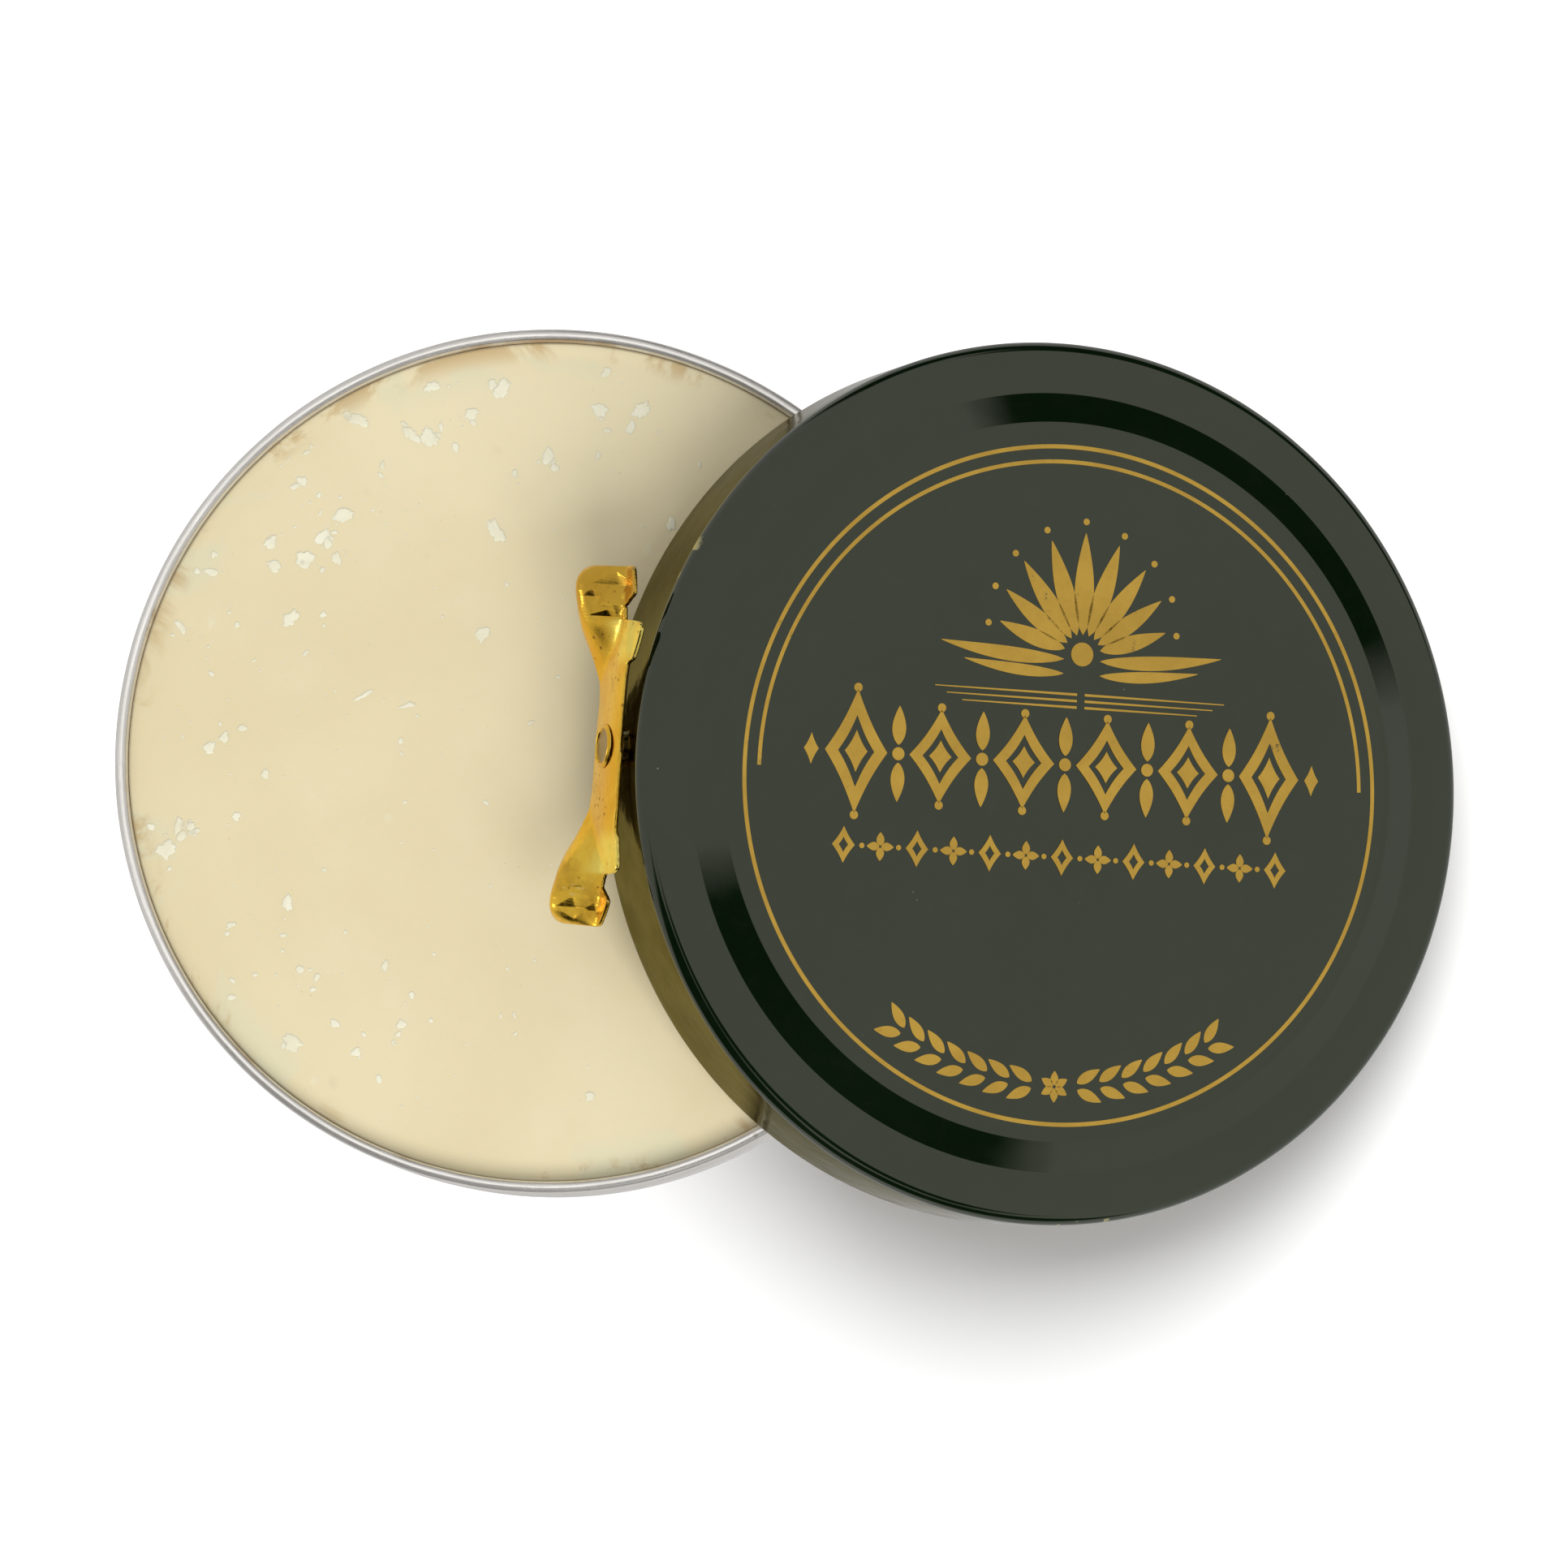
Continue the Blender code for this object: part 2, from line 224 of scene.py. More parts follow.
class Graph:
    """A small wrapper that keeps node set-up short."""

    def __init__(self, name):
        self.material = bpy.data.materials.new(name)
        self.material.use_nodes = True
        self.tree = self.material.node_tree
        self.shader = self.tree.nodes["Principled BSDF"]
        self.coord = self.new("ShaderNodeAttribute", attribute_name="local").outputs["Vector"]

    def new(self, kind, sockets=None, **settings):
        node = self.tree.nodes.new(kind)
        for key, value in settings.items():
            setattr(node, key, value)
        for key, value in (sockets or {}).items():
            self.put(value, node.inputs[key])
        return node

    def put(self, value, socket):
        if isinstance(value, bpy.types.NodeSocket):
            self.tree.links.new(value, socket)
        elif value is not None:
            socket.default_value = value

    def math(self, operation, a, b=None):
        return self.new("ShaderNodeMath", {0: a, 1: b}, operation=operation).outputs[0]

    def times(self, a, b):
        return self.math("MULTIPLY", a, b)

    def plus(self, a, b):
        return self.math("ADD", a, b)

    def noise(self, scale, detail=3.0, rough=0.5, vector=None, distortion=0.0):
        sockets = {"Vector": vector or self.coord, "Scale": scale, "Detail": detail, "Roughness": rough,
                   "Distortion": distortion}
        return self.new("ShaderNodeTexNoise", sockets).outputs["Fac"]

    def cells(self, scale, vector=None):
        """Distance to the nearest of many scattered points."""
        sockets = {"Vector": vector or self.coord, "Scale": scale}
        return self.new("ShaderNodeTexVoronoi", sockets).outputs["Distance"]

    def band(self, value, low, high, out_low=0.0, out_high=1.0):
        sockets = {"Value": value, "From Min": low, "From Max": high, "To Min": out_low, "To Max": out_high}
        node = self.new("ShaderNodeMapRange", sockets, interpolation_type="SMOOTHSTEP", clamp=True)
        return node.outputs["Result"]

    def mix(self, share, a, b):
        a, b = (c if isinstance(c, bpy.types.NodeSocket) else (*c, 1.0) for c in (a, b))
        sockets = {"Factor": share, "A": a, "B": b}
        return self.new("ShaderNodeMix", sockets, data_type="RGBA").outputs["Result"]

    def lay(self, tone, share, strength, colour):
        """Lays a colour over the tone where the share is high."""
        return self.mix(self.times(share, strength), tone, colour)

    def spots(self, scale, edge, patches, detail, amount):
        """Small round spots, kept only in some patches."""
        spot = self.band(self.cells(scale), *edge, 1.0, 0.0)
        return self.times(spot, self.band(self.noise(patches, detail), *amount))

    def stretch(self, scale):
        return self.new("ShaderNodeVectorMath", {0: self.coord, 1: scale}, operation="MULTIPLY").outputs[0]

    def polar(self, turn=1.0, radial=1.0, rise=1.0):
        """Coordinates that follow a turned part: angle, radius and height, each scaled."""
        x, y, z = self.new("ShaderNodeSeparateXYZ", {0: self.coord}).outputs
        radius = self.math("SQRT", self.plus(self.times(x, x), self.times(y, y)))
        angle = self.math("ARCTAN2", y, x)
        scaled = {0: self.times(angle, turn), 1: self.times(radius, radial), 2: self.times(z, rise)}
        return self.new("ShaderNodeCombineXYZ", scaled).outputs[0], radius, z

    def bump(self, height, strength, distance, normal=None):
        sockets = {"Strength": strength, "Distance": distance, "Height": height, "Normal": normal}
        return self.new("ShaderNodeBump", sockets).outputs["Normal"]

    def set(self, **values):
        names = {"colour": "Base Color", "rough": "Roughness", "metal": "Metallic", "normal": "Normal",
                 "sss": "Subsurface Weight", "sss_scale": "Subsurface Scale",
                 "sss_reach": "Subsurface Radius", "specular": "Specular IOR Level",
                 "tint": "Specular Tint", "aniso": "Anisotropic"}
        for key, value in values.items():
            if key in ("colour", "tint") and isinstance(value, tuple):
                value = (*value, 1.0)
            self.put(value, self.shader.inputs[names[key]])
        return self.material


def tinplate():
    g = Graph("tinplate")
    around, radius, z = g.polar(6.0, 5000.0, 5000.0)
    lines = g.noise(1.0, 4.0, 0.6, around)
    cloud = g.noise(2.2, 4.0, 0.55, g.polar(2.0, 60.0, 60.0)[0])
    fine = g.noise(900.0, 3.0, 0.6)
    tone = g.mix(g.band(cloud, 0.30, 0.72), (0.70, 0.675, 0.635), (0.76, 0.735, 0.70))
    tone = g.mix(g.band(lines, 0.35, 0.75, 0.0, 0.40), tone, (0.55, 0.52, 0.49))
    tone = g.lay(tone, g.spots(620.0, (0.10, 0.20), 160.0, 2.0, (0.60, 0.70)), 0.4, (0.25, 0.18, 0.11))
    near_rim = g.band(z, BASE_TOP - 2.4 * MM, BASE_TOP - 0.9 * MM)
    inner = g.band(radius, 40.66 * MM, 40.92 * MM, 1.0, 0.0)
    rust = g.band(g.noise(70.0, 4.0, 0.65, None, 0.6), 0.50, 0.66)
    rust = g.times(rust, g.times(near_rim, inner))
    tone = g.lay(tone, rust, 0.75, (0.36, 0.23, 0.10))
    rough = g.plus(g.band(lines, 0.2, 0.8, 0.22, 0.36), g.band(fine, 0.4, 0.8, 0.0, 0.08))
    normal = g.bump(lines, 0.30, 0.00005)
    normal = g.bump(cloud, 0.40, 0.0005, normal)
    return g.set(colour=tone, rough=rough, metal=0.80, normal=normal, aniso=0.35)


def wax_surface():
    g = Graph("wax")
    radius = g.polar()[1]
    cloud = g.noise(26.0, 4.0, 0.55, None, 0.4)
    patch = g.noise(90.0, 3.0, 0.55)
    tone = g.mix(g.band(cloud, 0.30, 0.72), WAX_TONES[0], WAX_TONES[1])
    tone = g.mix(g.band(patch, 0.45, 0.75, 0.0, 0.25), tone, WAX_TONES[2])
    edge = g.band(radius, 36.0 * MM, 38.8 * MM)
    ragged = g.band(g.noise(52.0, 4.0, 0.6, None, 0.9), 0.52, 0.60)
    tone = g.lay(tone, g.times(edge, ragged), 0.55, WAX_TONES[3])
    soft = g.plus(g.cells(230.0, g.stretch((1.0, 0.8, 0.3))), g.times(g.noise(420.0, 3.0), 0.35))
    pale = g.times(g.band(soft, 0.24, 0.33, 1.0, 0.0), g.band(g.noise(60.0, 2.0), 0.58, 0.66))
    tone = g.lay(tone, pale, 0.45, WAX_TONES[4])
    tone = g.lay(tone, g.spots(300.0, (0.08, 0.26), 110.0, 2.0, (0.62, 0.70)), 0.22, (0.36, 0.29, 0.18))
    tone = g.lay(tone, g.spots(900.0, (0.06, 0.12), 300.0, 2.0, (0.62, 0.68)), 0.25, (0.33, 0.20, 0.09))
    rim = g.band(radius, 38.2 * MM, 40.3 * MM)
    stain = g.times(rim, g.band(g.noise(46.0, 5.0, 0.70, None, 1.6), 0.50, 0.60))
    tone = g.lay(tone, stain, 0.66, (0.42, 0.28, 0.12))
    # Painted shade: a thin dark ring where the wax meets the wall.
    join_painted_shade = g.band(radius, 40.30 * MM, 40.50 * MM)
    tone = g.lay(tone, join_painted_shade, 0.60, (0.25, 0.17, 0.08))
    grain = g.noise(520.0, 4.0, 0.6)
    scuff = g.noise(1.0, 3.0, 0.6, g.stretch((900.0, 140.0, 100.0)))
    rough = g.plus(g.band(grain, 0.3, 0.75, 0.46, 0.60), g.times(pale, 0.15))
    normal = g.bump(grain, 0.18, 0.00010)
    normal = g.bump(scuff, 0.08, 0.00010, normal)
    normal = g.bump(pale, 0.30, 0.00006, normal)
    return g.set(colour=tone, rough=rough, sss=0.25, sss_scale=0.0010, sss_reach=(1.0, 0.72, 0.36),
                 normal=normal, specular=0.25)


def wax_crumb():
    g = Graph("wax_crumb")
    cloud = g.noise(300.0, 3.0, 0.6)
    tone = g.mix(g.band(cloud, 0.3, 0.7), CRUMB_TONES[0], CRUMB_TONES[1])
    grain = g.noise(1500.0, 3.0, 0.6)
    normal = g.bump(grain, 0.30, 0.00006)
    rough = g.band(grain, 0.3, 0.7, 0.50, 0.66)
    return g.set(colour=tone, rough=rough, sss=0.25, sss_scale=0.0008, sss_reach=(1.0, 0.8, 0.5),
                 normal=normal, specular=0.25)


def enamel():
    g = Graph("lid_enamel")
    around, radius, _ = g.polar(3.0, 900.0, 900.0)
    cloud = g.noise(30.0, 4.0, 0.5, None, 0.3)
    tone = g.mix(g.band(cloud, 0.30, 0.70), (0.0016, 0.0050, 0.0014), (0.0026, 0.0068, 0.0024))
    mottled = g.noise(400.0, 4.0, 0.6)
    tone = g.mix(g.band(mottled, 0.45, 0.75, 0.0, 0.35), tone, (0.0060, 0.0090, 0.0050))
    tone = g.lay(tone, g.spots(480.0, (0.030, 0.065), 140.0, 2.0, (0.62, 0.68)), 0.45, (0.26, 0.25, 0.19))
    smear = g.band(g.noise(75.0, 4.0, 0.65, g.stretch((1.0, 2.2, 1.0)), 1.0), 0.56, 0.76)
    edge = g.band(radius, LID_R - 0.50 * MM, LID_R - 0.15 * MM)
    chips = g.band(g.noise(520.0, 3.0, 0.6), 0.60, 0.64)
    where = g.band(g.noise(75.0, 2.0, 0.5), 0.60, 0.66)
    bare = g.times(edge, g.times(chips, where))
    tone = g.mix(bare, tone, (0.50, 0.44, 0.22))
    lines = g.noise(1.0, 4.0, 0.65, around)
    rough = g.plus(g.band(lines, 0.35, 0.8, 0.055, 0.095), g.times(smear, 0.05))
    peel = g.noise(330.0, 3.0, 0.5)
    drift = g.noise(60.0, 3.0, 0.5)
    normal = g.bump(drift, 0.16, 0.00035, g.bump(peel, 0.05, 0.00004))
    return g.set(colour=tone, rough=rough, metal=bare, normal=normal, specular=0.96, tint=(0.98, 1.0, 0.82))


def skirt_lacquer():
    g = Graph("skirt_lacquer")
    around, _, z = g.polar(12.0, 40.0, 2600.0)
    lines = g.noise(1.0, 4.0, 0.6, around)
    cloud = g.noise(1.3, 4.0, 0.55, g.polar(5.0, 30.0, 120.0)[0])
    tone = g.mix(g.band(cloud, 0.32, 0.68), (0.140, 0.120, 0.040), (0.205, 0.180, 0.070))
    tone = g.mix(g.band(lines, 0.5, 0.85, 0.0, 0.3), tone, (0.12, 0.095, 0.028))
    tone = g.lay(tone, g.spots(700.0, (0.07, 0.14), 170.0, 2.0, (0.58, 0.66)), 0.7, (0.05, 0.035, 0.015))
    foot = g.band(z, 0.1 * MM, 0.8 * MM, 1.0, 0.0)
    wear = g.times(foot, g.band(g.noise(140.0, 4.0, 0.6), 0.45, 0.65))
    tone = g.lay(tone, wear, 0.5, (0.45, 0.43, 0.38))
    rough = g.plus(g.band(lines, 0.3, 0.8, 0.10, 0.18), g.times(wear, 0.15))
    normal = g.bump(lines, 0.12, 0.00003)
    normal = g.bump(cloud, 0.30, 0.0005, normal)
    return g.set(colour=tone, rough=rough, metal=1.0, normal=normal, tint=(0.58, 0.57, 0.50))


def inner_lacquer():
    g = Graph("inner_lacquer")
    lines = g.noise(1.0, 4.0, 0.6, g.polar(3.0, 2200.0, 2200.0)[0])
    cloud = g.noise(45.0, 4.0, 0.55)
    tone = g.mix(g.band(cloud, 0.3, 0.7), (0.56, 0.50, 0.34), (0.64, 0.59, 0.43))
    tone = g.mix(g.band(lines, 0.45, 0.8, 0.0, 0.35), tone, (0.44, 0.39, 0.27))
    smear = g.band(g.noise(38.0, 4.0, 0.65, None, 1.2), 0.55, 0.75)
    tone = g.lay(tone, smear, 0.35, (0.66, 0.57, 0.36))
    rough = g.plus(g.band(lines, 0.3, 0.8, 0.22, 0.36), g.times(smear, 0.2))
    normal = g.bump(lines, 0.25, 0.00004)
    normal = g.bump(cloud, 0.3, 0.0004, normal)
    return g.set(colour=tone, rough=rough, metal=0.9, normal=normal)


def gold_ink():
    g = Graph("gold_ink")
    cloud = g.noise(220.0, 4.0, 0.6)
    tone = g.mix(g.band(cloud, 0.3, 0.7), INK_TONES[0], INK_TONES[1])
    grain = g.noise(2400.0, 3.0, 0.6)
    tone = g.mix(g.band(grain, 0.55, 0.85, 0.0, 0.45), tone, INK_TONES[2])
    worn = g.times(g.band(g.noise(700.0, 4.0, 0.65), 0.60, 0.68), g.band(g.noise(90.0, 3.0), 0.57, 0.68))
    tone = g.lay(tone, worn, 0.8, (0.05, 0.045, 0.02))
    rough = g.band(grain, 0.3, 0.8, 0.34, 0.52)
    normal = g.bump(grain, 0.12, 0.00002)
    return g.set(colour=tone, rough=rough, normal=normal, specular=0.3)


def key_gold(name, dish=False, back=False):
    g = Graph(name)
    cloud = g.noise(150.0, 4.0, 0.6, None, 0.5)
    tone = g.mix(g.band(cloud, 0.28, 0.72), (0.80, 0.44, 0.034), (0.92, 0.60, 0.068))
    streak = g.noise(1.0, 4.0, 0.6, g.stretch((300.0, 1500.0, 1500.0)))
    tone = g.mix(g.band(streak, 0.5, 0.8, 0.0, 0.40), tone, (0.66, 0.34, 0.024))
    along, up, _ = g.new("ShaderNodeSeparateXYZ", {0: g.coord}).outputs
    reach = g.math("ABSOLUTE", along)
    # Painted highlight: the plate's lobes are painted a brighter, paler gold.
    lobe = g.times(g.band(reach, 7.2 * MM, 9.4 * MM), g.band(reach, 11.8 * MM, 12.2 * MM, 1.0, 0.0))
    lobe = g.times(lobe, g.band(up, -0.8 * MM, 1.4 * MM))
    tone = g.lay(tone, lobe, 0.75, (1.0, 0.84, 0.19))
    # Painted shade: the far end of the left wing is painted a darker gold.
    ragged = g.plus(along, g.times(g.noise(260.0, 3.0), 3.0 * MM))
    tone = g.lay(tone, g.band(ragged, -13.0 * MM, -9.0 * MM, 1.0, 0.0), 0.55, (0.50, 0.27, 0.038))
    speck = g.spots(1150.0, (0.10, 0.26), 260.0, 3.0, (0.47, 0.60))
    tone = g.lay(tone, speck, 0.70, (0.17, 0.080, 0.020))
    tarnish = g.band(g.noise(120.0, 5.0, 0.7, None, 0.8), 0.54, 0.74)
    tone = g.lay(tone, tarnish, 0.50, (0.40, 0.22, 0.035))
    # Painted shade: the back of the key, facing the lid, is painted near black.
    if back:
        tone = g.mix(0.86, tone, (0.06, 0.035, 0.010))
    # Painted shade: the dished hollow of the rivet head is painted dark.
    if dish:
        hollow = g.band(g.polar()[1], 1.45 * MM, 1.75 * MM, 1.0, 0.0)
        tone = g.lay(tone, hollow, 0.85, (0.22, 0.17, 0.10))
    # Painted highlight: sharp edges are painted a paler gold.
    edge = g.band(g.new("ShaderNodeNewGeometry").outputs["Pointiness"], 0.53, 0.60)
    tone = g.lay(tone, edge, 0.40, (0.93, 0.74, 0.34))
    rough = g.plus(g.band(streak, 0.3, 0.8, 0.20, 0.34), g.times(tarnish, 0.14))
    rough = g.plus(rough, g.times(speck, 0.25))
    normal = g.bump(g.noise(620.0, 4.0, 0.6), 0.22, 0.00010)
    normal = g.bump(streak, 0.12, 0.00004, normal)
    return g.set(colour=tone, rough=rough, metal=1.0, normal=normal)


WAX_TONES = ((0.590, 0.512, 0.325), (0.635, 0.563, 0.375), (0.62, 0.56, 0.40), (0.560, 0.545, 0.385),
             (0.63, 0.60, 0.44))
CRUMB_TONES = ((0.66, 0.615, 0.445), (0.73, 0.69, 0.525))
INK_TONES = ((0.285, 0.170, 0.022), (0.335, 0.205, 0.028), (0.21, 0.125, 0.015))
TINPLATE = tinplate()
WAX = wax_surface()
CRUMB = wax_crumb()
ENAMEL = enamel()
SKIRT = skirt_lacquer()
INNER = inner_lacquer()
INK = gold_ink()
KEY_GOLD = key_gold("key_gold")
# The second copy has painted shade: its back is darkened nearly to black.
KEY_BACK_PAINTED_SHADE = key_gold("key_back_painted_shade", back=True)
# The rivet's copy has painted shade in the hollow of its head.
RIVET_GOLD = key_gold("rivet_gold", dish=True)


# ---- base

BASE_WALL = 40.9 * MM
BASE_BODY = BASE_HIGH.x - 0.015 * MM
BASE_SHEET = 0.30 * MM
CURL = 0.30 * MM
FLOOR_GROOVE = (30.9, 3.2, 0.225)
SHOULDER = (10.5, 1.9)


def base_outer():
    """The base's outer skin from the centre of its floor, out, up the wall and over the curl."""
    pts = [(0.0, 0.0), (12.0 * MM, 0.0), (24.0 * MM, 0.0)]
    for i in range(17):
        s = i / 16.0
        start, width, rise = FLOOR_GROOVE
        pts.append(((start + width * s) * MM, rise * MM * (1.0 - math.cos(2.0 * math.pi * s))))
    pts += arc(BASE_BODY - 2.0 * MM, 2.0 * MM, 2.0 * MM, -90.0, 0.0, 10)
    pts += [(BASE_BODY, z * MM) for z in (4.0, 7.0, 9.6)]
    for i in range(15):
        s = i / 14.0
        share = s * s * (3.0 - 2.0 * s)
        pts.append((BASE_BODY + (BASE_WALL - BASE_BODY) * share, (SHOULDER[0] + SHOULDER[1] * s) * MM))
    top = BASE_TOP - 0.012 * MM
    pts += [(BASE_WALL, 14.2 * MM), (BASE_WALL, 18.0 * MM), (BASE_WALL, top - 1.0 * MM)]
    middle = np.array((BASE_WALL + CURL, top - 2.0 * CURL))
    curl = np.array(arc(*middle, CURL, 180.0, -70.0, 44))
    turn = np.linspace(180.0, -70.0, 45)
    for angle, depth in ((118.0, 0.012), (84.0, 0.016), (60.0, 0.010), (38.0, 0.012)):
        dip = depth * np.exp(-((turn - angle) / 4.0) ** 2)[:, None] * MM
        curl = curl + (middle - curl) / CURL * dip
    pts += [tuple(p) for p in curl]
    return pts


def wall_drift(a, z):
    """How far the rolled wall strays inward from a true circle."""
    near_top = np.clip((z - 0.6 * BASE_TOP) / (0.4 * BASE_TOP), 0.0, 1.0)
    wave = soft_noise(2.0 * np.cos(a), 2.0 * np.sin(a), 11)
    fine = soft_noise(9.0 * np.cos(a), 9.0 * np.sin(a), 12)
    return near_top * (0.05 + 0.05 * wave + 0.014 * fine) * MM


def build_base():
    outer, inner = thick_profile(base_outer(), BASE_SHEET)
    lip = 0.5 * (outer[-1] + inner[-1])
    profile = np.vstack([outer, [lip], inner[::-1]])

    def wobble(a, r, z):
        r = r - wall_drift(a, z) * (r > 30 * MM)
        rim = np.clip((z - (BASE_TOP - 1.4 * MM)) / (1.2 * MM), 0.0, 1.0) * (r > 38 * MM)
        z = z - rim * (0.03 + 0.03 * soft_noise(5.0 * np.cos(a), 5.0 * np.sin(a), 13)) * MM
        return r, z

    mesh = lathe("base_shell", profile, 384, False, wobble)
    smooth(mesh, 50)
    body = new_object("base_shell", mesh, [TINPLATE])
    settle(body)
    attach(body, "base")
    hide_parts("base_tin")


# ---- polish

WAX_SIDE = 40.57 * MM
CRUMB_LIMIT = 38.9 * MM
# Radius and height, in millimetres, of the block's unseen side and underside.
WAX_BELOW = ((40.36, 20.0), (40.36, 12.0), (41.30, 10.0), (41.30, 3.0), (40.8, 1.45), (39.4, 0.65),
             (34.4, 0.6), (32.5, 1.05), (30.6, 0.6), (0.0, 0.6))


def wax_level(x, y):
    r = np.hypot(x, y)
    level = WAX_HIGH.z - 0.40 * MM
    dish = -0.10 * MM * (1.0 - np.clip(r / (38.0 * MM), 0.0, 1.0) ** 2)
    rise = 0.30 * MM * np.clip((r - 38.9 * MM) / (1.60 * MM), 0.0, 1.0) ** 2
    wave = 0.035 * MM * soft_noise(x * 90.0, y * 90.0, 21)
    ripple = 0.012 * MM * soft_noise(x * 420.0, y * 420.0, 22)
    return level + dish + rise + wave + ripple


def build_wax():
    rings = np.concatenate([np.linspace(0.0, 36.0 * MM, 60), np.linspace(36.5 * MM, WAX_SIDE, 26)])
    turns = 300
    angles = np.arange(turns) * 2.0 * math.pi / turns
    a, r = np.meshgrid(angles, rings, indexing="ij")
    r = r * (1.0 - wall_drift(a, WAX_HIGH.z) / WAX_SIDE)
    x, y = r * np.cos(a), r * np.sin(a)
    z = wax_level(x, y)
    top = np.stack([x, y, z], -1)
    below = []
    for radius, height in WAX_BELOW:
        radius, height = radius * MM, height * MM
        below.append(np.stack([radius * np.cos(angles), radius * np.sin(angles), np.full(turns, height)], -1))
    points = np.concatenate([top, np.stack(below, 1)], 1)
    faces = grid_faces(turns, points.shape[1], True, False)
    mesh = bpy.data.meshes.new("wax_block")
    mesh.from_pydata(points.reshape(-1, 3).tolist(), [], faces.tolist())
    finish_mesh(mesh)
    smooth(mesh, 60)
    body = new_object("wax_block", mesh, [WAX])
    settle(body)
    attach(body, "base")
    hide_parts("wax_polish")


def crumb_outline(rng, size, long):
    """A ragged, angular outline: broad lobes broken by uneven teeth."""
    count = max(9, min(46, int(size / (0.034 * MM))))
    turn = rng.uniform(0.0, 2.0 * math.pi)
    waves = [(k, rng.uniform(0.0, 6.283), rng.uniform(0.4, 1.0) / k ** 0.7) for k in (1, 2, 3, 5, 7, 11, 16)]
    points = []
    for i in range(count):
        angle = 2.0 * math.pi * (i + rng.uniform(-0.3, 0.3)) / count
        reach = size * (0.60 + 0.20 * sum(w * math.sin(k * angle + p) for k, p, w in waves))
        reach = max(0.20 * size, reach) * rng.uniform(0.84, 1.16)
        x, y = reach * math.cos(angle) * long, reach * math.sin(angle) / long
        points.append((x * math.cos(turn) - y * math.sin(turn), x * math.sin(turn) + y * math.cos(turn)))
    return points


def crumb_places(rng):
    """Big flakes and their crumbs, thicker towards the far left and near the rim, then dust."""
    places = []
    limit = CRUMB_LIMIT
    for k in range(60):
        near = k < 46
        angle = rng.gauss(math.radians(160.0), 0.95) if near else rng.uniform(0.0, 2.0 * math.pi)
        radius = limit * min(0.98, abs(rng.gauss(0.86, 0.11))) if near else limit * math.sqrt(rng.random())
        x, y = spoke(angle, radius)
        size = rng.uniform(0.75, 1.45) * MM if k % 2 == 0 else rng.uniform(0.40, 0.75) * MM
        for j in range(rng.choice((1, 2, 3, 5, 7)) if near else 1):
            spread = 0.0 if j == 0 else 1.5 * MM
            dx, dy = rng.gauss(0.0, 1.0) * spread, rng.gauss(0.0, 1.0) * spread
            if math.hypot(x + dx, y + dy) < limit:
                places.append((x + dx, y + dy, size, rng.choice((1.0, 1.15, 1.3))))
            size *= rng.uniform(0.32, 0.72)
    for _ in range(60):
        angle = rng.uniform(0.0, 2.0 * math.pi)
        radius = limit * math.sqrt(rng.random())
        places.append((*spoke(angle, radius), rng.uniform(0.15, 0.45) * MM,
                       rng.choice((1.0, 1.2, 1.5))))
    for _ in range(190):
        angle = rng.gauss(math.radians(165.0), 1.4)
        radius = limit * math.sqrt(rng.random())
        places.append((*spoke(angle, radius), rng.uniform(0.07, 0.20) * MM, 1.0))
    for _ in range(2):
        angle = rng.uniform(2.4, 3.8)
        radius = limit * rng.uniform(0.35, 0.6)
        places.append((*spoke(angle, radius), rng.uniform(0.65, 0.80) * MM, 2.1))
    return places


def build_crumbs():
    rng = random.Random(12)
    vertices, faces = [], []
    for x, y, size, long in crumb_places(rng):
        outline = crumb_outline(rng, size, long)
        height = 0.022 * MM + min(0.03 * MM, size * 0.03)
        level = float(wax_level(np.array([x]), np.array([y]))[0])
        start, count = len(vertices), len(outline)
        lean_x, lean_y = rng.gauss(0.0, 0.01), rng.gauss(0.0, 0.01)
        rings = ((1.0, -0.06 * MM), (1.0, 0.004 * MM), (0.94, 0.7 * height), (0.70, height))
        for share, lift in rings:
            for px, py in outline:
                z = level + lift + (px * lean_x + py * lean_y if lift > 0.0 else 0.0)
                vertices.append((x + px * share, y + py * share, z))
        for ring in range(len(rings) - 1):
            for i in range(count):
                j = (i + 1) % count
                a, b = start + ring * count, start + (ring + 1) * count
                faces.append((a + i, a + j, b + j, b + i))
        last = start + (len(rings) - 1) * count
        vertices.append((x, y, level + height))
        faces += [(last + i, last + (i + 1) % count, len(vertices) - 1) for i in range(count)]
        faces.append(tuple(range(start + count - 1, start - 1, -1)))
    mesh = bpy.data.meshes.new("wax_crumbs")
    mesh.from_pydata(vertices, [], faces)
    smooth(mesh, 60)
    body = new_object("wax_crumbs", mesh, [CRUMB])
    settle(body)
    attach(body, "base")


# ---- lid

LID_SHEET = 0.35 * MM
RING_Z = LID_H - 1.05 * MM
STEP_OUT = 37.45 * MM
STEP_IN = 34.5 * MM
CORNER = 1.25 * MM
RIVET_HOLE = 1.26 * MM
PAINT_EDGE = RING_Z - CORNER


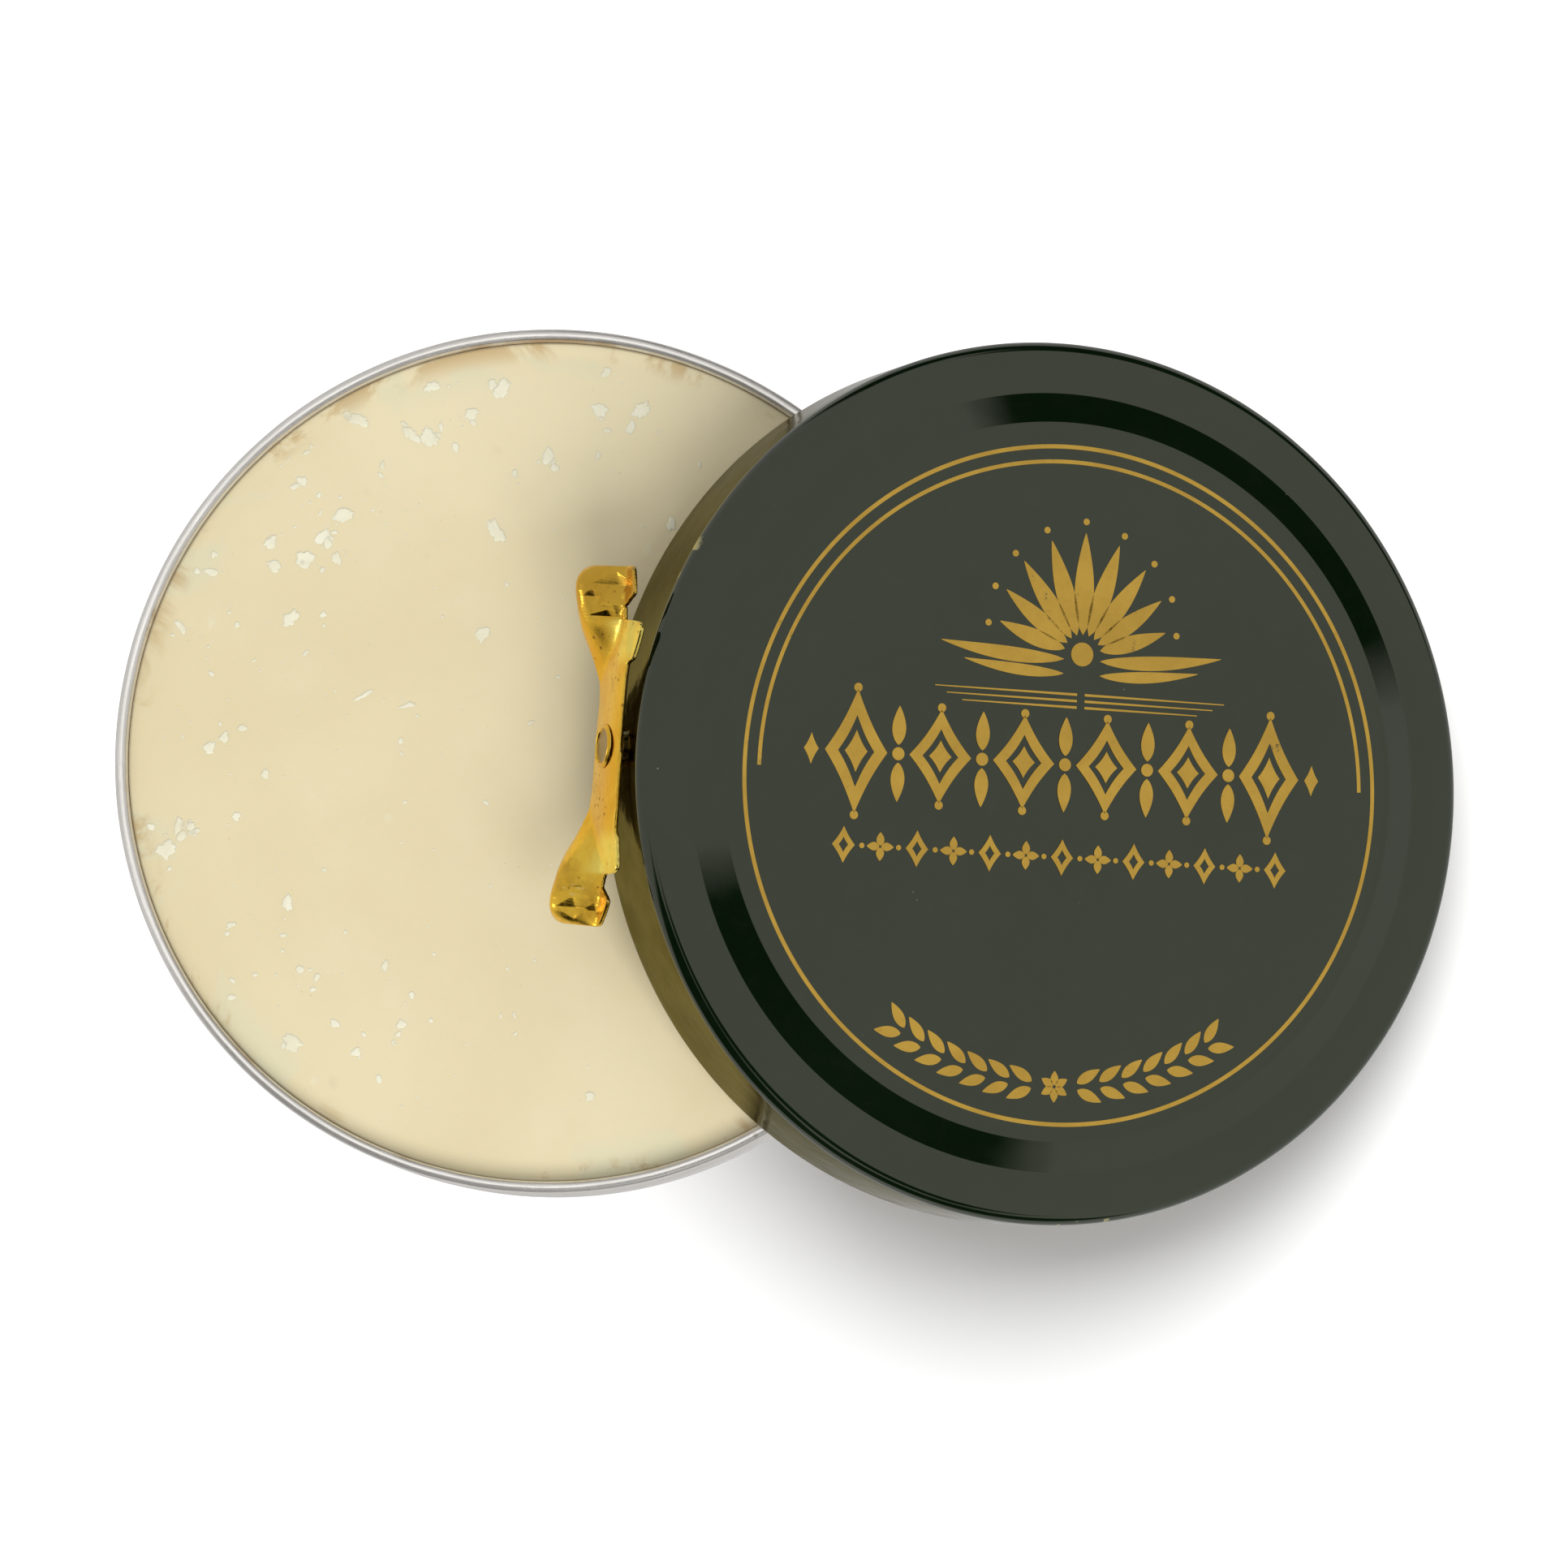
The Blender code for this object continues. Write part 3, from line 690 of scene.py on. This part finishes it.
def lid_outer():
    """The lid's outer skin from the centre out over the step and the corner and down the skirt."""
    edge = LID_R - 0.015 * MM
    top = LID_H - 0.01 * MM
    ring = RING_Z
    slope = math.degrees(math.atan2(top - ring, STEP_OUT - STEP_IN))
    panel = ((0.0, 0.03), (10.0, 0.025), (20.0, 0.015), (29.0, 0.0), (33.70, 0.0), (33.82, 0.03),
             (33.92, 0.03), (34.05, 0.0))
    pts = [(x * MM, top - down * MM) for x, down in panel]
    pts += arc(STEP_IN - 0.10 * MM, top - 0.5 * MM, 0.5 * MM, 90.0, 90.0 - slope, 6)
    pts += arc(STEP_OUT + 0.10 * MM, ring + 0.45 * MM, 0.5 * MM, 270.0 - slope, 270.0, 6)
    flat = ((37.95, -0.035), (38.05, 0.0), (39.5, 0.0), (40.95, 0.005), (41.05, -0.02))
    pts += [(x * MM, ring + lift * MM) for x, lift in flat]
    pts += arc(edge - CORNER, ring - CORNER, CORNER, 84.0, 0.0, 14)
    pts += [(edge, z * MM) for z in (7.5, 5.0, 2.5, 1.0, 0.35, 0.18)]
    return pts


def build_lid():
    outer, inner = thick_profile(lid_outer(), -LID_SHEET)
    edge = outer[-1][0]
    hem = arc(edge - 0.5 * LID_SHEET, 0.18 * MM, 0.5 * LID_SHEET, 0.0, -180.0, 8)[1:-1]
    profile = np.vstack([outer, hem, inner[::-1]])

    def wobble(a, r, z):
        wave = soft_noise(1.5 * np.cos(a), 1.5 * np.sin(a), 31)
        fine = soft_noise(7.0 * np.cos(a), 7.0 * np.sin(a), 32)
        share = np.clip(r / LID_R, 0.0, 1.0) ** 6
        r = r - share * (0.05 + 0.04 * wave + 0.012 * fine) * MM
        x, y = r * np.cos(a), r * np.sin(a)
        panel = np.clip(1.0 - r / (34.0 * MM), 0.0, 1.0)
        z = z - panel * (0.03 + 0.025 * soft_noise(x * 60.0, y * 60.0, 33)) * MM
        return r, z

    mesh = lathe("lid_body", profile, 384, False, wobble)
    for poly in mesh.polygons:
        centre = poly.center
        radius = math.hypot(centre.x, centre.y)
        if radius > LID_R - 0.22 * MM and centre.z < PAINT_EDGE:
            poly.material_index = 1
        elif poly.normal.z < 0.3 and not (radius > LID_R - 0.22 * MM):
            poly.material_index = 2
    smooth(mesh, 50)
    body = new_object("lid_body", mesh, [ENAMEL, SKIRT, INNER])
    cut_hole(body, LID_PLACE.inverted() @ KEY_PLACE)
    settle(body, LID_PLACE)
    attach(body, "lid")
    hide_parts("lid_shell")


def cut_hole(body, place):
    """A round hole for the rivet through whatever the rivet's axis crosses."""
    bpy.ops.mesh.primitive_cylinder_add(vertices=64, radius=RIVET_HOLE, depth=8.0 * MM)
    cutter = bpy.context.active_object
    cutter.matrix_world = place
    bpy.context.view_layer.update()
    hole = body.modifiers.new("rivet_hole", "BOOLEAN")
    hole.operation = "DIFFERENCE"
    hole.solver = "EXACT"
    hole.object = cutter
    view = bpy.context.evaluated_depsgraph_get()
    mesh = bpy.data.meshes.new_from_object(body.evaluated_get(view))
    body.modifiers.clear()
    body.data = mesh
    bpy.data.objects.remove(cutter)


# ---- print

class Print:
    """Flat shapes of ink, gathered in one mesh a hair above the lid's centre panel."""

    def __init__(self):
        self.vertices = []
        self.faces = []
        self.low = LID_H - 0.030 * MM
        self.high = LID_H + 0.008 * MM

    def band(self, inner, outer, closed=False):
        """Fills between two matching lines of points."""
        start, count = len(self.vertices), len(inner)
        for line, z in ((inner, self.high), (outer, self.high), (inner, self.low), (outer, self.low)):
            self.vertices += [(x * MM, y * MM, z) for x, y in line]
        last = count if closed else count - 1
        for i in range(last):
            j = (i + 1) % count
            a, b, c, d = (start + k * count for k in range(4))
            self.faces.append((a + i, b + i, b + j, a + j))
            self.faces.append((c + i, c + j, d + j, d + i))
            self.faces.append((b + i, d + i, d + j, b + j))
            self.faces.append((a + i, a + j, c + j, c + i))
        if not closed:
            for i in (0, count - 1):
                a, b, c, d = (start + k * count + i for k in range(4))
                self.faces.append((a, c, d, b) if i == 0 else (a, b, d, c))

    def arc(self, radius, width, start, end, count=160):
        closed = abs(end - start) >= 360.0
        steps = np.radians(np.linspace(start, end, count, endpoint=not closed))
        self.band(*([spoke(t, radius + side * width / 2) for t in steps] for side in (-1, 1)), closed)

    def stroke(self, path, widths):
        """A line that swells and thins along a path."""
        path = np.array(path, float)
        tangent = np.gradient(path, axis=0)
        tangent /= np.linalg.norm(tangent, axis=1)[:, None]
        normal = np.stack([-tangent[:, 1], tangent[:, 0]], -1)
        half = np.array(widths, float)[:, None] / 2.0
        self.band([tuple(p) for p in path - normal * half], [tuple(p) for p in path + normal * half])

    def leaf(self, root, angle, length, width, bend=0.0):
        """A pointed leaf: a stroke whose width rises and falls."""
        t = np.linspace(0.0, 1.0, 18)
        way = math.radians(angle)
        x, y = length * t, bend * length * t * t
        path = np.stack([root[0] + x * math.cos(way) - y * math.sin(way),
                         root[1] + x * math.sin(way) + y * math.cos(way)], -1)
        self.stroke(path, 0.05 + width * np.sin(math.pi * t ** 0.8).clip(0.0) ** 0.9)

    def dot(self, centre, radius):
        t = np.linspace(0.0, 2.0 * math.pi, 24, endpoint=False)
        self.band(*([spoke(a, r, *centre) for a in t] for r in (0.02 * radius, radius)), True)

    def lozenge(self, centre, half_x, half_y, hollow=0.0, bulge=0.0):
        """A diamond with sides that may bow in or out, and a matching hole if hollow."""
        corners = [(half_x, 0.0), (0.0, half_y), (-half_x, 0.0), (0.0, -half_y)]
        outline = []
        for k in range(4):
            a, b = corners[k], corners[(k + 1) % 4]
            for i in range(12):
                s = i / 12
                push = 1.0 + bulge * 4.0 * s * (1.0 - s)
                outline.append(((a[0] * (1 - s) + b[0] * s) * push, (a[1] * (1 - s) + b[1] * s) * push))
        inner = [(centre[0] + x * max(hollow, 0.01), centre[1] + y * max(hollow, 0.01)) for x, y in outline]
        outer = [(centre[0] + x, centre[1] + y) for x, y in outline]
        self.band(inner, outer, True)

    def petals(self, centre, count, near, far, width, turn=0.0):
        for i in range(count):
            angle = turn + 360.0 * i / count
            self.leaf(spoke(math.radians(angle), near, *centre), angle, far - near, width)

    def build(self, place):
        mesh = bpy.data.meshes.new("lid_print")
        mesh.from_pydata(self.vertices, [], self.faces)
        body = new_object("lid_print", mesh, [INK])
        settle(body, place)
        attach(body, "lid")


def palmette(ink, cx, cy):
    """A fan of slim leaves on a stem, a pair of long side leaves, and rules beneath."""
    for k in range(-4, 5):
        angle = 90.0 + k * 19.0
        length = 9.8 - 0.42 * abs(k) ** 1.35
        a = math.radians(angle)
        ink.leaf(spoke(a, 1.9, cx, cy), angle, length, 1.95 - 0.10 * abs(k), -0.07 * k / 4.0)
        ink.dot(spoke(a, 3.0 + length, cx, cy), 0.32)
    ink.dot((cx, cy), 1.15)
    for hand in (-1, 1):
        for lift, length, width in ((-0.55, 12.6, 1.35), (-1.95, 10.2, 1.05)):
            ink.leaf((cx + hand * 1.9, cy + lift), 90.0 - hand * 91.0, length, width, hand * 0.10)
        for i, length in enumerate((14.6, 13.4, 11.8)):
            y = cy - 3.9 - 0.62 * i
            line = [(cx + hand * (0.4 + s * length), y) for s in np.linspace(0.0, 1.0, 14)]
            ink.stroke(line, 0.24 * (1.0 - 0.6 * np.linspace(0.0, 1.0, 14)))


def ornament_row(ink, y):
    """A band of bold lozenges with spindles between them, tallest at both ends."""
    count, pitch = 6, 8.55
    for k in range(count):
        x = (k - (count - 1) / 2.0) * pitch
        tall = 5.9 if k in (0, count - 1) else 4.5
        ink.lozenge((x, y), 3.15, tall, 0.58, -0.08)
        ink.lozenge((x, y), 1.15, tall * 0.34, 0.0, -0.10)
        ink.dot((x, y + tall + 0.15), 0.42)
        ink.dot((x, y - tall - 0.15), 0.42)
        if k < count - 1:
            gap = x + pitch / 2.0
            ink.leaf((gap, y + 0.85), 90.0, 3.7, 1.35)
            ink.leaf((gap, y - 0.85), -90.0, 3.7, 1.35)
            ink.dot((gap, y), 0.62)
    for side in (-1, 1):
        ink.lozenge((side * (count * pitch / 2.0 + 0.25), y), 0.75, 1.5, 0.0, -0.1)


def small_row(ink, y):
    for k in range(-6, 7):
        x = k * 3.72
        if k % 2 == 0:
            ink.lozenge((x, y), 1.15, 1.75, 0.42, -0.08)
        else:
            ink.petals((x, y), 4, 0.10, 1.35, 0.75)
        if k < 6:
            ink.dot((x + 1.86, y), 0.26)


def laurel(ink, radius):
    """Pairs of leaves along the lower ring, in two sprays that meet at a small flower."""
    for k in range(-7, 8):
        if k == 0:
            continue
        angle = 270.0 + k * 4.7
        root = spoke(math.radians(angle), radius)
        hand = 1.0 if k > 0 else -1.0
        way = angle + hand * 90.0
        for side in (-1.0, 1.0):
            lean = math.radians(way + 90.0 * side)
            ink.leaf(spoke(lean, 0.34, *root), way + side * 27.0, 2.7, 1.0)
    ink.petals(spoke(math.radians(270.0), radius), 6, 0.15, 1.5, 0.75, 30.0)


PRINT_SHIFT = (0.15, 0.35)
PRINT_TURN = math.radians(-3.0)


def build_print():
    ink = Print()
    ink.arc(32.50, 0.40, 0.0, 360.0, 288)
    ink.arc(31.05, 0.38, 2.0, 180.0, 200)
    palmette(ink, 1.4, 12.6)
    ornament_row(ink, 1.9)
    small_row(ink, -7.0)
    laurel(ink, 28.9)
    axis = LID_PLACE.to_3x3().col[2]
    right = Vector((1.0, 0.0, 0.0))
    right = (right - axis * right.dot(axis)).normalized()
    up = axis.cross(right)
    turn = Matrix.Rotation(PRINT_TURN, 3, axis)
    right, up = turn @ right, turn @ up
    place = Matrix((right, up, axis)).transposed().to_4x4()
    across, down = PRINT_SHIFT
    place.translation = LID_PLACE.translation + right * across * MM - up * down * MM
    ink.build(place)


# ---- key and rivet

KEY_SHEET = 0.45 * MM
PLATE = 11.8
NOTCH = 13.3
TAB = 14.6
TIP = 17.08


def ease(value, low, high):
    share = np.clip((value - low) / (high - low), 0.0, 1.0)
    return share * share * (3.0 - 2.0 * share)


def key_edges(x):
    """Upper and lower edge of the key at each station, in millimetres."""
    reach = np.abs(x)
    left = x < 0.0
    lobe = np.where(left, 1.85, 0.65)
    high = 3.28 + lobe * (0.45 * ease(reach, 7.7, 8.5) + 0.55 * np.clip((reach - 8.0) / 3.0, 0.0, 1.0))
    high = high + 0.05 * soft_noise(x * 1.3, x * 0.0 + 1.0, 44)
    corner = np.clip((reach - (PLATE - 0.75)) / 0.75, 0.0, 1.0)
    high = high - 0.75 * (1.0 - np.sqrt(1.0 - 0.995 * corner ** 2))
    floor = 1.75 + 0.10 * soft_noise(x * 3.0, x * 0.0, 45)
    rise = ease(reach, NOTCH - 0.1, TAB)
    tip = np.clip((reach - TAB) / (TIP - TAB), 0.0, 1.0)
    tab = floor + (3.55 - floor) * rise - np.where(left, 0.75, 1.95) * tip ** np.where(left, 2.0, 1.2)
    end = np.clip((reach - (TIP - 0.45)) / 0.45, 0.0, 1.0)
    tab = tab - 0.45 * (1.0 - np.sqrt(1.0 - 0.99 * end ** 2))
    drop = ease(reach, PLATE - 0.02, PLATE + 0.28)
    high = high * (1.0 - drop) + tab * drop
    low = -3.3 - 0.7 * ease(reach, 5.7, PLATE)
    curve = np.clip((reach - 15.0) / (TIP - 15.0), 0.0, 1.0)
    low = low + 1.7 * (1.0 - np.sqrt(1.0 - 0.99 * curve ** 2))
    return high, low


def pyramid(x, y, cx, cy, wide, tall):
    return np.clip(1.0 - np.abs(x - cx) / wide - np.abs(y - cy) / tall, 0.0, 1.0)


def key_height(x, y):
    """How far the sheet stands out from the plate's plane, in millimetres."""
    reach = np.abs(x)
    bow = 0.0023 * np.minimum(reach, PLATE) ** 2
    slant = -3.3 + 0.9 * (reach - 5.7)
    line = 0.5 * (slant + 1.5 - np.hypot(slant - 1.5, 1.1))
    below = line - y
    drop = 0.5 * (below + np.sqrt(below ** 2 + 0.12)) - 0.03
    drop = np.maximum(drop, 0.0) * ease(reach, 4.9, 7.2)
    grow = np.clip((reach - 6.5) / 8.0, 0.0, 1.0)
    curl = np.maximum(0.0, -1.2 - y)
    out = np.maximum(0.0, (0.45 + 0.66 * grow) * drop - grow * curl ** 2 / 2.4)
    tip = np.clip((reach - 15.0) / (TIP + 0.02 - 15.0), 0.0, 1.0)
    out = out * (0.43 + 0.57 * np.sqrt(1.0 - tip ** 2))
    left = x < 0.0
    wing = ease(reach, 10.5, 12.5)
    dents = -0.50 * pyramid(x, y, -15.2, 0.6, 1.35, 1.7) + 0.28 * pyramid(x, y, -13.3, 0.8, 0.9, 1.2)
    dents += -0.38 * pyramid(x, y, -12.2, 0.1, 0.6, 1.6) - 0.22 * pyramid(x, y, -14.0, -0.9, 0.8, 0.7)
    dents += -0.36 * pyramid(x, y, 15.4, -0.5, 1.1, 1.2) - 0.30 * pyramid(x, y, 15.6, 1.1, 0.8, 0.9)
    dents += -0.16 * pyramid(x, y, 13.5, -0.2, 0.35, 1.1) + 0.12 * pyramid(x, y, 14.2, 0.9, 0.7, 0.9)
    above = np.maximum(0.0, y - (0.6 - 0.06 * x))
    ridge = -0.055 * np.minimum(above, 2.7) ** 2 - 0.12 * np.maximum(0.0, above - 2.7)
    ridge = ridge * (1.0 - ease(reach, PLATE, NOTCH))
    low_fold = -0.07 * np.maximum(0.0, -1.3 - y) * (1.0 - ease(reach, 4.0, 6.0))
    lobe = -0.10 * ease(y, 2.6, 4.0) * ease(reach, 8.0, 9.5) * np.where(left, 1.0, 0.5)
    rough = 0.030 * soft_noise(x * 0.8, y * 0.8, 41) + 0.014 * soft_noise(x * 2.4, y * 2.4, 42)
    rough = rough * (0.25 + 1.3 * grow)
    return out - bow + dents * wing + ridge + low_fold + lobe + rough - 0.03


def key_stations():
    runs = ((0.0, 7.5, 46), (7.62, 10.9, 34), (10.95, PLATE - 0.02, 18), (PLATE, PLATE + 0.3, 26),
            (PLATE + 0.36, TIP - 0.6, 76))
    rounding = TIP - 0.55 * (1.0 - np.sin(np.linspace(0.06, 1.0, 16) * math.pi / 2.0))
    half = np.concatenate([*(np.linspace(*run) for run in runs), rounding])
    return np.concatenate([-half[:0:-1], half])


def build_key():
    xs = key_stations()
    across = 86
    high, low = key_edges(xs)
    t = np.linspace(0.0, 1.0, across)
    t = 0.75 * t + 0.25 * (0.5 - 0.5 * np.cos(t * math.pi))
    x2 = np.repeat(xs[:, None], across, 1)
    y2 = low[:, None] + (high - low)[:, None] * t[None]
    z2 = key_height(x2, y2)
    step = 0.03
    slope_x = (key_height(x2 + step, y2) - key_height(x2 - step, y2)) / (2.0 * step)
    slope_y = (key_height(x2, y2 + step) - key_height(x2, y2 - step)) / (2.0 * step)
    normal = np.stack([-slope_x, -slope_y, np.ones_like(slope_x)], -1)
    normal /= np.linalg.norm(normal, axis=2)[:, :, None]
    mid = np.stack([x2, y2, z2], -1)
    sheet = KEY_SHEET / MM
    span = (high - low)[:, None]
    margin = np.minimum(np.minimum(t * span, (1.0 - t) * span), (TIP - np.abs(xs))[:, None] + 0.02)
    thin = 0.13 * (1.0 - np.sqrt(1.0 - (1.0 - np.clip(margin / 0.16, 0.0, 1.0)) ** 2))
    front = mid - normal * thin[:, :, None]
    back = mid - normal * (sheet - thin)[:, :, None]
    loop = np.concatenate([front, back[:, ::-1]], 1)
    rows, columns = loop.shape[:2]
    faces = grid_faces(rows, columns, False, True).tolist()
    for row in (0, rows - 1):
        for j in range(across - 1):
            a, b = row * columns + j, row * columns + columns - 1 - j
            faces.append((a, a + 1, b - 1, b))
    mesh = bpy.data.meshes.new("butterfly_key")
    mesh.from_pydata((loop.reshape(-1, 3) * MM).tolist(), [], faces)
    finish_mesh(mesh, 1e-7)
    body = new_object("butterfly_key", mesh, [KEY_GOLD])
    cut_hole(body, Matrix.Identity(4))
    # Painted shade: faces turned towards the lid take the near-black copy of the gold.
    body.data.materials.append(KEY_BACK_PAINTED_SHADE)
    for poly in body.data.polygons:
        poly.material_index = 1 if poly.normal.z < -0.2 and poly.normal.y > -0.9 else 0
    smooth(body.data, 32)
    settle(body, KEY_PLACE)
    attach(body, "key")
    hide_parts("twist_key")


def build_rivet():
    """A hollow rivet: dished outer head, shoulder that holds the key off, clinched inner head."""
    plate = -KEY_SHEET / MM
    gap = plate - 1.0
    wall = gap - LID_SHEET / MM
    pts = [(0.0, 0.075), (0.55, 0.07), (1.20, 0.075), (1.50, 0.085), (1.60, 0.11)]
    pts += [(x / MM, z / MM) for x, z in arc(1.80 * MM, 0.10 * MM, 0.18 * MM, 165.0, 30.0, 16)]
    pts += [(2.04, 0.13), (2.10, 0.065), (2.11, 0.015), (2.08, 0.0), (1.20, 0.0), (1.20, plate - 0.063)]
    pts += [(1.84, plate - 0.063)]
    pts += [(1.84, gap + 0.07), (1.20, gap + 0.07), (1.20, wall - 0.14), (1.75, wall - 0.14)]
    pts += [(1.88, wall - 0.20), (1.88, wall - 0.28), (1.78, wall - 0.36), (0.0, wall - 0.36)]
    mesh = lathe("hollow_rivet", [(x * MM, z * MM) for x, z in pts], 96, False)
    smooth(mesh, 40)
    body = new_object("hollow_rivet", mesh, [RIVET_GOLD])
    settle(body, KEY_PLACE)
    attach(body, "lid")
    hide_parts("key_rivet")


# ---- studio

FLOOR_HALF = 3.0
LAMP_DISTANCE = 1.1
CARD_DISTANCE = 0.5
WORLD_STRENGTH = 0.62
LENS = 138.33
CAMERA_OFFSET = Vector((0.82, -46.23, 580.45)) * MM
CAMERA_TURNS = (("X", 0.078226), ("Y", 0.002619), ("Z", -0.012232))
# Dark cards round the lid, each corner an azimuth and an angle off the vertical.
CARDS = {
    "far_card": ((12, 92), (12, 80), (34, 58), (50, 53), (62, 57), (62, 92)),
    "edge_card": ((57, 92), (57, 68), (70, 66), (84, 60), (100, 74), (112, 92)),
    "left_card": ((-162, 26), (-120, 20), (-98, 56), (-92, 92), (-150, 92), (-158, 60)),
    "under_card": ((-99, 58), (-78, 62), (-58, 68), (-56, 92), (-99, 92)),
    "near_card": ((-112, 9), (-104, 30), (-86, 46), (-66, 60), (-44, 54), (-50, 36), (-36, 12)),
}


def build_floor():
    mesh = bpy.data.meshes.new("floor")
    corners = ((-1, -1), (1, -1), (1, 1), (-1, 1))
    mesh.from_pydata([(FLOOR_HALF * x, FLOOR_HALF * y, 0.0) for x, y in corners], [], [(0, 1, 2, 3)])
    g = Graph("floor")
    g.set(colour=(0.92, 0.92, 0.92), rough=0.9, specular=0.05)
    floor = new_object("floor", mesh, [g.material])
    floor.location.z = -0.02 * MM
    floor.visible_glossy = False
    return floor


def softbox(name, place, target, size, power, mirrored, only, blockers):
    """A soft lamp that lights only the listed objects. Any blockers are all that shade it."""
    light = bpy.data.lights.new(name, "AREA")
    light.shape = "RECTANGLE"
    light.size, light.size_y = size
    light.energy = power
    lamp = bpy.data.objects.new(name, light)
    bpy.context.scene.collection.objects.link(lamp)
    lamp.visible_glossy = mirrored
    for use, listed in (("receiver", only), ("blocker", blockers)):
        if listed:
            group = bpy.data.collections.new(name + "_" + use)
            for body in listed:
                group.objects.link(body)
            setattr(lamp.light_linking, use + "_collection", group)
    lamp.location = place
    lamp.rotation_mode = "QUATERNION"
    lamp.rotation_quaternion = (target - place).to_track_quat("-Z", "Y")


def heading(azimuth, off_zenith):
    a, z = math.radians(azimuth), math.radians(off_zenith)
    return Vector((math.cos(a) * math.sin(z), math.sin(a) * math.sin(z), math.cos(z)))


def black_card(name, centre, corners):
    """A dark card with faded edges that only mirrors show, its corners given as headings."""
    points = [centre + heading(a, z) * CARD_DISTANCE for a, z in corners]
    middle = sum(points, Vector()) / len(points)
    count = len(points)
    rings = [[middle + (p - middle) * share for p in points] for share in (1.12, 0.84)]
    faces = [(i, (i + 1) % count, count + (i + 1) % count, count + i) for i in range(count)]
    faces += [(count + i, count + (i + 1) % count, 2 * count) for i in range(count)]
    mesh = bpy.data.meshes.new(name)
    mesh.from_pydata([tuple(p) for ring in rings for p in ring] + [tuple(middle)], [], faces)
    fade = mesh.attributes.new("fade", "FLOAT", "POINT")
    fade.data.foreach_set("value", [0.0] * count + [1.0] * (count + 1))
    g = Graph(name)
    g.set(colour=(0.0, 0.0, 0.0), rough=1.0, specular=0.0)
    g.put(g.new("ShaderNodeAttribute", attribute_name="fade").outputs["Fac"], g.shader.inputs["Alpha"])
    card = new_object(name, mesh, [g.material])
    card.visible_camera = card.visible_diffuse = False
    card.visible_shadow = card.visible_transmission = False


def build_studio(centre, floor):
    world = bpy.data.worlds.new("studio")
    bpy.context.scene.world = world
    world.use_nodes = True
    background = world.node_tree.nodes["Background"]
    background.inputs["Color"].default_value = (1.0, 1.0, 1.0, 1.0)
    background.inputs["Strength"].default_value = WORLD_STRENGTH
    bodies = [b for b in bpy.context.scene.objects
              if b.type == "MESH" and b is not floor and not b.hide_render]

    def named(*names):
        return [b for b in bodies if b.name in names]

    brass = named("butterfly_key", "hollow_rivet")
    for name, azimuth, off, size, power, mirrored, only, blockers in (
            ("low_light", -72.0, 40.0, (0.7, 0.7), 11.0, False, bodies, ()),
            ("fill_light", 150.0, 30.0, (0.6, 0.6), 2.4, False, bodies, ()),
            ("rim_light", 180.0, 12.0, (1.3, 1.3), 3.4, True, named("base_shell"), ()),
            ("floor_light", 98.0, 30.0, (1.0, 1.0), 17.0, False, [floor], named("lid_body")),
            ("side_light", 186.0, 84.0, (0.16, 0.24), 0.9, True, brass, ())):
        place = centre + heading(azimuth, off) * LAMP_DISTANCE
        softbox(name, place, centre, size, power, mirrored, only, blockers)
    for name, corners in CARDS.items():
        black_card(name, LID_PLACE.translation, corners)
    bpy.context.scene.view_settings.view_transform = "Standard"


def build_camera(centre):
    data = bpy.data.cameras.new("camera")
    data.lens = LENS
    data.sensor_width = 36.0
    data.clip_start, data.clip_end = 0.05, 10.0
    camera = bpy.data.objects.new("camera", data)
    bpy.context.scene.collection.objects.link(camera)
    place = Matrix.Translation(centre + CAMERA_OFFSET)
    for axis, angle in CAMERA_TURNS:
        place = place @ Matrix.Rotation(angle, 4, axis)
    camera.matrix_world = place
    bpy.context.scene.camera = camera


build_base()
build_wax()
build_crumbs()
build_lid()
build_print()
build_key()
build_rivet()
CENTRE = (CAD_BOUNDS[0] + CAD_BOUNDS[1]) / 2.0
build_studio(Vector((CENTRE.x, CENTRE.y, 0.0)), build_floor())
build_camera(CENTRE)
